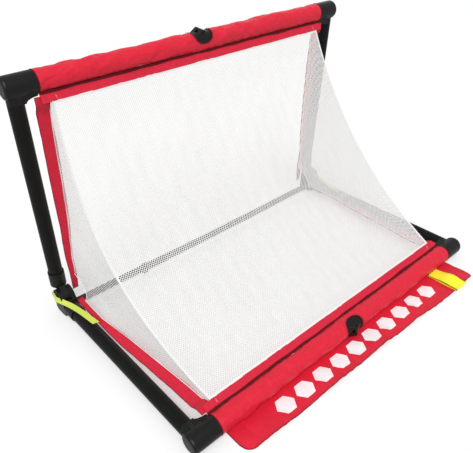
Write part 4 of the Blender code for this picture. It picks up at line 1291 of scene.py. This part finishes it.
def hinge_strap():
    """The black webbing between the side hinges, doubled at its slider, with sewn tabs at the hinges."""
    half = WIDTH / 2 - HINGE_FACE
    thick = sizes().webbing
    x = np.linspace(-half + thick, half - thick, 200)
    droop = -0.004 * np.sin(math.pi * (x + half) / (2 * half)) ** 2
    push = 0.0008 * uneven(x, 0.16, 51)
    doubled_from, doubled_to = -WIDTH / 2 + 0.285, -WIDTH / 2 + 0.410
    on = (x > doubled_from) & (x < doubled_to)
    bow = np.sin(np.linspace(0, math.pi, on.sum())) ** 0.5
    beside = WEB_ALONG + push[on] + thick * 1.02 + 0.0008 * bow
    obj = band("hinge_strap_webbing", at_x("lower", x, WEB_ALONG + push, droop), thick)
    extra = [band("strap_tail", at_x("lower", x[on], beside, droop[on]), thick)]
    for side in SIDES.values():
        tab = in_row("lower", side, HINGE_FACE + thick / 2, np.linspace(0.036, 0.060, 12), 0.0)
        extra.append(band(f"strap_tab_{side}", tab, thick))
    box = []
    tall = 0.011
    for left in (-0.555, 0.535):
        right = left + 0.022
        corners = [(left, tall), (right, tall), (right, -tall), (left, -tall), (left, tall), (right, -tall)]
        sides = [np.linspace(a, b, 8).T for a, b in zip(corners, corners[1:])]
        box.append(np.concatenate([at_x("lower", sx, WEB_ALONG, sz) for sx, sz in sides]))
    through = thick + 0.0006
    sewn = stitches("strap_box_stitch", box, "black_thread", pitch=0.0034, long=0.0026, thread=through)
    joined(obj, *extra, sewn)
    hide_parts("hinge_strap")
    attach(obj, "lower_left_side")
    gathers(obj, *STRAP_BUNCH)


def strap_slider():
    """A moulded three-bar slider round the doubled strap."""
    name = "strap_slider_buckle"
    outer = rounded_box(0.012, 0.0195, 0.004, 6)
    slots = [rounded_box(0.0030, 0.0158, 0.0014, 4, centre) for centre in (-0.0060, 0.0060)]
    mesh = bpy.data.meshes.new(name)
    with edited(mesh) as bm:
        edges = []
        for ring in (outer, *slots):
            verts = [bm.verts.new((x, 0, z)) for x, z in ring]
            edges += [bm.edges.new((verts[k - 1], verts[k])) for k in range(len(verts))]
        bmesh.ops.triangle_fill(bm, edges=edges, use_beauty=True)
    front, back = link(name, mesh), link(f"{name}_back", mesh.copy())
    for obj, along in ((front, WEB_ALONG + 0.0052), (back, WEB_ALONG - 0.0032)):
        spot = at_x("lower", -WIDTH / 2 + 0.300, along, -0.0035)
        obj.data.transform(Matrix.Translation(spot))
        walled(obj, 0.0026)
        edge = obj.modifiers.new("edges", "BEVEL")
        with_settings(edge, width=0.0007, segments=3, angle_limit=math.radians(50))
        plain(obj)
        uv = obj.data.uv_layers.get("Cloth") or obj.data.uv_layers.new(name="Cloth")
        uv.active = True
        dressed(obj, material_named("nylon"), 40)
    joined(front, back)
    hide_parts("strap_slider")
    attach(front, "lower_left_side")
    gathers(front, *STRAP_BUNCH)


def rounded_box(half_wide, half_tall, corner, steps, centre=0.0):
    """The outline of a rectangle with rounded corners, as (x, z) pairs."""
    ring = []
    for quadrant, (sx, sz) in enumerate(((1, 1), (-1, 1), (-1, -1), (1, -1))):
        for k in range(steps + 1):
            turn = (quadrant + k / steps) * math.pi / 2
            ring.append((
                centre + sx * (half_wide - corner) + corner * math.cos(turn),
                sz * (half_tall - corner) + corner * math.sin(turn),
            ))
    return ring


def smooth_path(rows, steps):
    """A smooth curve through rows of numbers, with this many points for each stretch."""
    rows = np.asarray(rows, float)
    padded = np.vstack([2 * rows[0] - rows[1], rows, 2 * rows[-1] - rows[-2]])
    out = []
    for k in range(len(rows) - 1):
        a, b, c, d = padded[k : k + 4]
        t = np.linspace(0, 1, steps, endpoint=False)[:, None]
        squared = 2 * a - 5 * b + 4 * c - d
        cubed = 3 * b - a - 3 * c + d
        out.append(0.5 * (2 * b + (c - a) * t + squared * t**2 + cubed * t**3))
    out.append(rows[-1:])
    return np.vstack(out)


def pull_strap(side_name):
    """The yellow webbing tail of one lock: flat on the plunger's head, then twisting to lie along the leg."""
    side = SIDES[side_name]
    name = f"{side_name}_pull_webbing"
    cheek, head, gap = 0.025, 0.0028, 0.0006
    outside = -(cheek + head + gap + PULL_CLOTH / 2)
    route = [
        # place inward, along and across, then the direction of the strap's width
        (outside, PLUNGER_ALONG - 0.009, PLUNGER_ACROSS + 0.004, 0, 0.35, 0.94),
        (outside - 0.0010, PLUNGER_ALONG + 0.011, PLUNGER_ACROSS + 0.002, 0.10, 0.38, 0.92),
        (-0.0325, 0.0430, 0.0365, 0.42, 0.35, 0.84),
        (-0.0225, 0.0700, 0.0350, 0.84, 0.15, 0.52),
        (-0.0100, 0.1000, 0.0315, 0.95, 0.0, 0.31),
        (0.0000, 0.1400, 0.0290, 0.98, 0.0, 0.20),
        (0.0070, 0.1820, 0.0268, 0.98, 0.0, 0.18),
        (0.0120, 0.2220, 0.0262, 0.98, 0.0, 0.18),
    ]
    curve = smooth_path(route, 14)
    middle = in_row("lower", side, curve[:, 0], curve[:, 1], curve[:, 2])
    zero = in_row("lower", side, 0.0, 0.0, 0.0)
    way = unit(in_row("lower", side, curve[:, 3], curve[:, 4], curve[:, 5]) - zero)
    width = np.full(len(middle), PULL_WIDTH)
    width[:4] = PULL_WIDTH * np.array((0.70, 0.90, 0.97, 1.0))
    shares = np.linspace(-0.5, 0.5, 9)
    ahead = unit(np.gradient(middle, axis=0))
    slant = np.zeros(len(middle))
    slant[-6:] = np.linspace(0, 0.009, 6)
    across = width[:, None] * shares
    points = middle[:, None] + way[:, None] * across[..., None]
    points = points + ahead[:, None] * (slant[:, None] * shares)[..., None]
    uv = np.stack(np.broadcast_arrays(run_of(middle)[:, None], shares * PULL_WIDTH), -1)
    obj = cloth(name, points, uv, "pull", PULL_CLOTH)
    first, last = 5, 13
    box = [points[first:last, 1], points[first:last, -2], points[first, 1:-1], points[last, 1:-1]]
    sewn = stitches(f"{name}_stitches", box, "olive_thread", pitch=0.0030, long=0.0022, thread=0.0021)
    joined(obj, sewn)
    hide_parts(f"{side_name}_pull_strap")
    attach(obj, f"{side_name}_lock")


# Banner


BANNER_EDGE = (
    # place across the goal, then how far the free edge lies past the crossbar's axis
    (BANNER_LEFT, 0.106),
    (-0.450, 0.110),
    (-0.200, 0.114),
    (0.000, 0.116),
    (0.210, 0.123),
    (0.410, 0.133),
    (BANNER_RIGHT, 0.128),
)


def banner_edge(x):
    """How far out the free edge lies, with both its corners rounded."""
    x = np.asarray(x)
    knots, reach = np.array(BANNER_EDGE).T
    edge = smooth_between(np.clip(x, BANNER_LEFT, BANNER_RIGHT), knots, reach)
    for off, corner in ((x - BANNER_LEFT, 0.032), (BANNER_RIGHT - x, 0.008)):
        edge = edge - corner * (1 - np.sqrt(1 - (1 - ramp(off, corner)) ** 2))
    return edge


def banner_height(x, out):
    """The banner's middle surface above the floor: it ripples more towards its free edge."""
    share = np.clip((out - BANNER_ROOT) / (0.125 - BANNER_ROOT), 0, 1.1)
    across = (np.asarray(x) - BANNER_LEFT) / (BANNER_RIGHT - BANNER_LEFT)
    wave = 0.5 - 0.5 * np.cos(2 * math.pi * (5 * across + 0.10 * np.sin(2 * math.pi * 1.7 * across)))
    calm = 1 - 0.75 * bell(np.asarray(x) - BAND_MIDDLE, 0.055)
    spots = np.stack(np.broadcast_arrays(x, out), -1)
    small = 0.5 + 0.5 * swell(spots, 0.045, 61)
    folds = np.abs(swell(spots * (1.0, 0.45), 0.062, 62)) * calm
    return 0.0011 + (0.0078 * wave * calm + 0.0007 * small) * share**1.5 + 0.0050 * folds * share**0.8


def banner_point(x, out, lift=0.0):
    return at_x("lower", x, LEG + out, banner_height(x, out) + lift - BAR_R)


def banner_half(side_name):
    """One half of the red banner in front of the lower crossbar, with a turned and sewn edge."""
    name = f"banner_{side_name}_cloth"
    on_left = side_name == "left"
    low, high = (BANNER_LEFT, 0.0) if on_left else (0.0, BANNER_RIGHT)
    x = np.linspace(low, high, 150)
    out = BANNER_ROOT + (banner_edge(x) - BANNER_ROOT)[:, None] * np.linspace(0, 1, 26)
    xx = np.broadcast_to(x[:, None], out.shape)
    points = banner_point(xx, out)
    obj = cloth(name, points, np.stack([xx, out], -1), "cover")
    rim = np.concatenate([points[0], points[:, -1]] if on_left else [points[-1], points[::-1, -1]])
    keep = np.concatenate([[True], np.linalg.norm(np.diff(rim, axis=0), axis=1) > 1e-4])
    hem = cord(f"{name}_hem", rim[keep], 0.0012, "edge")
    sewn_x, end_x = (x[8:], low + 0.007) if on_left else (x[:-4], high - 0.007)
    end_out = np.linspace(BANNER_ROOT + 0.004, banner_edge(end_x) - 0.007, 30)
    rows = [
        banner_point(sewn_x, banner_edge(sewn_x) - 0.006, 0.0003),
        banner_point(np.full(30, end_x), end_out, 0.0003),
    ]
    joined(obj, hem, stitches(f"{name}_rows", rows, "red_thread"))
    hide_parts("banner")
    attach(obj, f"lower_bar_{side_name}")
    gathers_to_bar(obj)
    banner_print(side_name, low, high)


def gathers_to_bar(obj):
    """Gives the piece its own copy of its mesh; the banner isn't rolled up against its crossbar as the bar
    folds.
    """
    root = tuple(at_x("lower", 0.0, LEG + BANNER_ROOT, -BAR_R))
    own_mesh(obj)


def banner_print(side_name, low, high):
    """A row of plain printed lozenges on one half of the banner."""
    pitch = sizes().print_pitch
    margin, band_side, row = 0.03, 0.415, 0.066
    places = [pitch * (k - 4.5) for k in range(10)]
    places = [p for p in places if low + margin < p < min(high, band_side) - margin]
    mesh = bpy.data.meshes.new("print_spots")
    mesh.from_pydata([(p, row, 0.0) for p in places], [], [])
    obj = link(f"banner_{side_name}_print", mesh)
    values = {"Long": 0.066, "Tall": 0.062, "Material": material_named("print")}
    grown(obj, tree_named("printed_lozenges", lozenge_tree), values)
    x, out, _ = spots_of(obj.data).T
    film = 0.00025
    move_to(obj.data, banner_point(x, out, sizes().cloth / 2 + film))
    face_up(obj)
    obj.data.shade_smooth()
    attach(obj, f"lower_bar_{side_name}")
    gathers_to_bar(obj)


def face_up(obj):
    """Turns the faces of a flat piece upwards."""
    with edited(obj.data) as bm:
        bm.normal_update()
        bmesh.ops.reverse_faces(bm, faces=[f for f in bm.faces if f.normal.z < 0])


def banner_loop():
    """The yellow cloth loop over the banner's right end: gathered at its root and open at its free turn."""
    name = "banner_loop_cloth"
    root, tip, turn_r, thin = 0.024, 0.1365, 0.0032, 0.0016
    steps, bend = 34, 10
    lower = np.linspace(root, tip, steps)
    turn = np.linspace(-math.pi / 2, math.pi / 2, bend + 2)[1:-1]
    out = np.concatenate([lower, tip + turn_r * np.cos(turn), lower[::-1]])
    level = np.concatenate([np.zeros(steps), (1 + np.sin(turn)) / 2, np.ones(steps)])
    oo, aa = np.meshgrid(out, np.linspace(0, 1, 15), indexing="ij")
    ll = np.broadcast_to(level[:, None], oo.shape)
    run = ramp(oo - root, tip - root)
    pinch = 1 - 0.10 * (1 - run) ** 2
    x = BAND_MIDDLE + (aa - 0.5) * (BAND_TO - BAND_FROM) * pinch
    base = banner_height(x, oo) + 0.0018
    arch = (0.0050 + 0.0080 * aa) * np.sin(math.pi * run**1.3) ** 2
    arch = arch * (1 + 0.35 * np.sin(aa * 2 * math.pi * 1.5 + 0.8))
    gap = thin + (2 * turn_r - thin) * run**2
    pleat = 0.0018 * (1 - run) ** 1.5 * (1 + np.cos(aa * 2 * math.pi * 4)) * (0.5 + 0.5 * ll)
    points = at_x("lower", x, LEG + oo, base + ll * (gap + arch) + pleat - BAR_R)
    path_run = run_of(np.stack([out, level * 2 * turn_r], -1))
    uv = np.stack(np.broadcast_arrays(path_run[:, None], aa * LOOP_CUT[0]), -1)
    obj = cloth(name, points, uv, "loop")
    upper = points[steps + bend + 3 :]
    rows = [upper[:, 1], upper[:, -2], points[-5, 1:-1], points[-3, 1:-1]]
    sewn = stitches(f"{name}_rows", rows, "olive_thread", pitch=0.0050, long=0.0035, thread=0.0016)
    hems = [cord(f"{name}_hem_{k}", points[steps:, k], 0.0010, "olive_thread") for k in (0, -1)]
    joined(obj, sewn, *hems)
    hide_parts("banner_band")
    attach(obj, "lower_bar_right")
    gathers_to_bar(obj)


# Stage


def stage():
    """A white floor, even studio light, and the camera at the photograph's angle."""
    half = 60
    corners = [(-half, -half, 0), (half, -half, 0), (half, half, 0), (-half, half, 0)]
    floor = made("studio_floor", corners, [(0, 1, 2, 3)])
    floor.data.transform(Matrix.Translation((0, 0, -0.0003)))
    floor.data.materials.append(material_named("floor"))
    # A studio trick: the floor's light doesn't reach the goal, so that it stays white and the net isn't
    # washed out.
    with_settings(floor, visible_diffuse=False, visible_glossy=False)
    world = bpy.data.worlds.new("studio")
    world.use_nodes = True
    background = world.node_tree.nodes["Background"]
    background.inputs["Color"].default_value = (1, 1, 1, 1)
    background.inputs["Strength"].default_value = 0.60
    bpy.context.scene.world = world
    lamps = (
        # A wide light from the front left, as strong all over the floor, and two soft boxes for the gloss
        ("overhead", "SUN", (-1.5, -1.6, 2.6), (0, 0, 0), {"angle": math.radians(42), "energy": 1.95}),
        ("front_left", "AREA", (-2.4, -1.4, 2.1), (0, 0, 0.3), {"size": 1.6, "energy": 9}),
        ("back_right", "AREA", (1.9, 1.9, 1.8), (0, 0, 0.3), {"size": 1.4, "energy": 3}),
    )
    for name, kind, place, target, settings in lamps:
        lamp = link(name, with_settings(bpy.data.lights.new(name, kind), **settings))
        lamp.location = place
        lamp.rotation_euler = (Vector(target) - Vector(place)).to_track_quat("-Z", "Y").to_euler()
    # The camera that was solved from the photo: its axes, place, lens and shift
    right = (0.74393, -0.66801, -0.01819)
    up = (0.39491, 0.41750, 0.81837)
    back = (-0.53909, -0.61600, 0.57440)
    place = (-1.0551, -1.0091, 1.2216)
    data = with_settings(
        bpy.data.cameras.new("camera"), lens=40.2, sensor_width=36, shift_x=-0.00765, shift_y=0.0284
    )
    camera = link("camera", data)
    camera.matrix_world = Matrix([*zip(right, up, back, place), (0, 0, 0, 1)])
    bpy.context.scene.camera = camera
    bpy.context.scene.view_settings.view_transform = "Standard"


# Operators


class GOAL_OT_stage(bpy.types.Operator):
    """Add the floor, the lights and the camera"""

    bl_idname = "goal.stage"
    bl_label = "Stage"

    def execute(self, context):
        stage()
        return {"FINISHED"}


class GOAL_OT_frame(bpy.types.Operator):
    """Give the tubes, castings, pins and springs their finishes, and rivet the legs"""

    bl_idname = "goal.frame"
    bl_label = "Frame"

    def execute(self, context):
        finish_frame()
        for level in AXES:
            for side_name in SIDES:
                rivets(level, side_name)
        return {"FINISHED"}


class GOAL_OT_sleeves(bpy.types.Operator):
    """Make the two padded sleeves over the crossbars"""

    bl_idname = "goal.sleeves"
    bl_label = "Padded sleeves"

    def execute(self, context):
        for level in AXES:
            sleeve_cover(level)
        return {"FINISHED"}


class GOAL_OT_tapes(bpy.types.Operator):
    """Make the header tapes and the strips along the legs"""

    bl_idname = "goal.tapes"
    bl_label = "Tapes and strips"

    def execute(self, context):
        for k, level in enumerate(AXES):
            header_tape(level)
            for side_name, side in SIDES.items():
                strip(level, side_name, 70 + 2 * k + side)
        return {"FINISHED"}


class GOAL_OT_nets(bpy.types.Operator):
    """Make the halves of the back net and of the side nets"""

    bl_idname = "goal.nets"
    bl_label = "Nets"

    def execute(self, context):
        for level in AXES:
            back_net(level)
        for side_name in SIDES:
            side_net(side_name)
        return {"FINISHED"}


class GOAL_OT_webbing(bpy.types.Operator):
    """Make the strap between the hinges, its slider and the locks' pull straps"""

    bl_idname = "goal.webbing"
    bl_label = "Webbing"

    def execute(self, context):
        hinge_strap()
        strap_slider()
        for side_name in SIDES:
            pull_strap(side_name)
        return {"FINISHED"}


class GOAL_OT_banner(bpy.types.Operator):
    """Make the banner, its print and its yellow loop"""

    bl_idname = "goal.banner"
    bl_label = "Banner"

    def execute(self, context):
        for side_name in SIDES:
            banner_half(side_name)
        banner_loop()
        return {"FINISHED"}


class GOAL_PT_panel(bpy.types.Panel):
    """The goal's sizes, colours and pieces"""

    bl_label = "Soccer goal"
    bl_space_type = "VIEW_3D"
    bl_region_type = "UI"
    bl_category = "Goal"

    def draw(self, context):
        for operator in OPERATORS:
            self.layout.operator(operator.bl_idname)
        for group in (context.scene.goal_sizes, context.scene.goal_colours):
            box = self.layout.box()
            for name in group.__annotations__:
                box.prop(group, name)


OPERATORS = (
    GOAL_OT_stage,
    GOAL_OT_frame,
    GOAL_OT_sleeves,
    GOAL_OT_tapes,
    GOAL_OT_nets,
    GOAL_OT_webbing,
    GOAL_OT_banner,
)
CLASSES = (GoalSizes, GoalColours, *OPERATORS, GOAL_PT_panel)


def register():
    for cls in CLASSES:
        bpy.utils.register_class(cls)
    bpy.types.Scene.goal_sizes = bpy.props.PointerProperty(type=GoalSizes)
    bpy.types.Scene.goal_colours = bpy.props.PointerProperty(type=GoalColours)


def unregister():
    del bpy.types.Scene.goal_colours
    del bpy.types.Scene.goal_sizes
    for cls in reversed(CLASSES):
        bpy.utils.unregister_class(cls)


def main():
    register()
    bpy.ops.goal.stage()
    bpy.ops.goal.frame()
    bpy.ops.goal.sleeves()
    bpy.ops.goal.tapes()
    bpy.ops.goal.nets()
    bpy.ops.goal.webbing()
    bpy.ops.goal.banner()


if __name__ == "__main__":
    main()
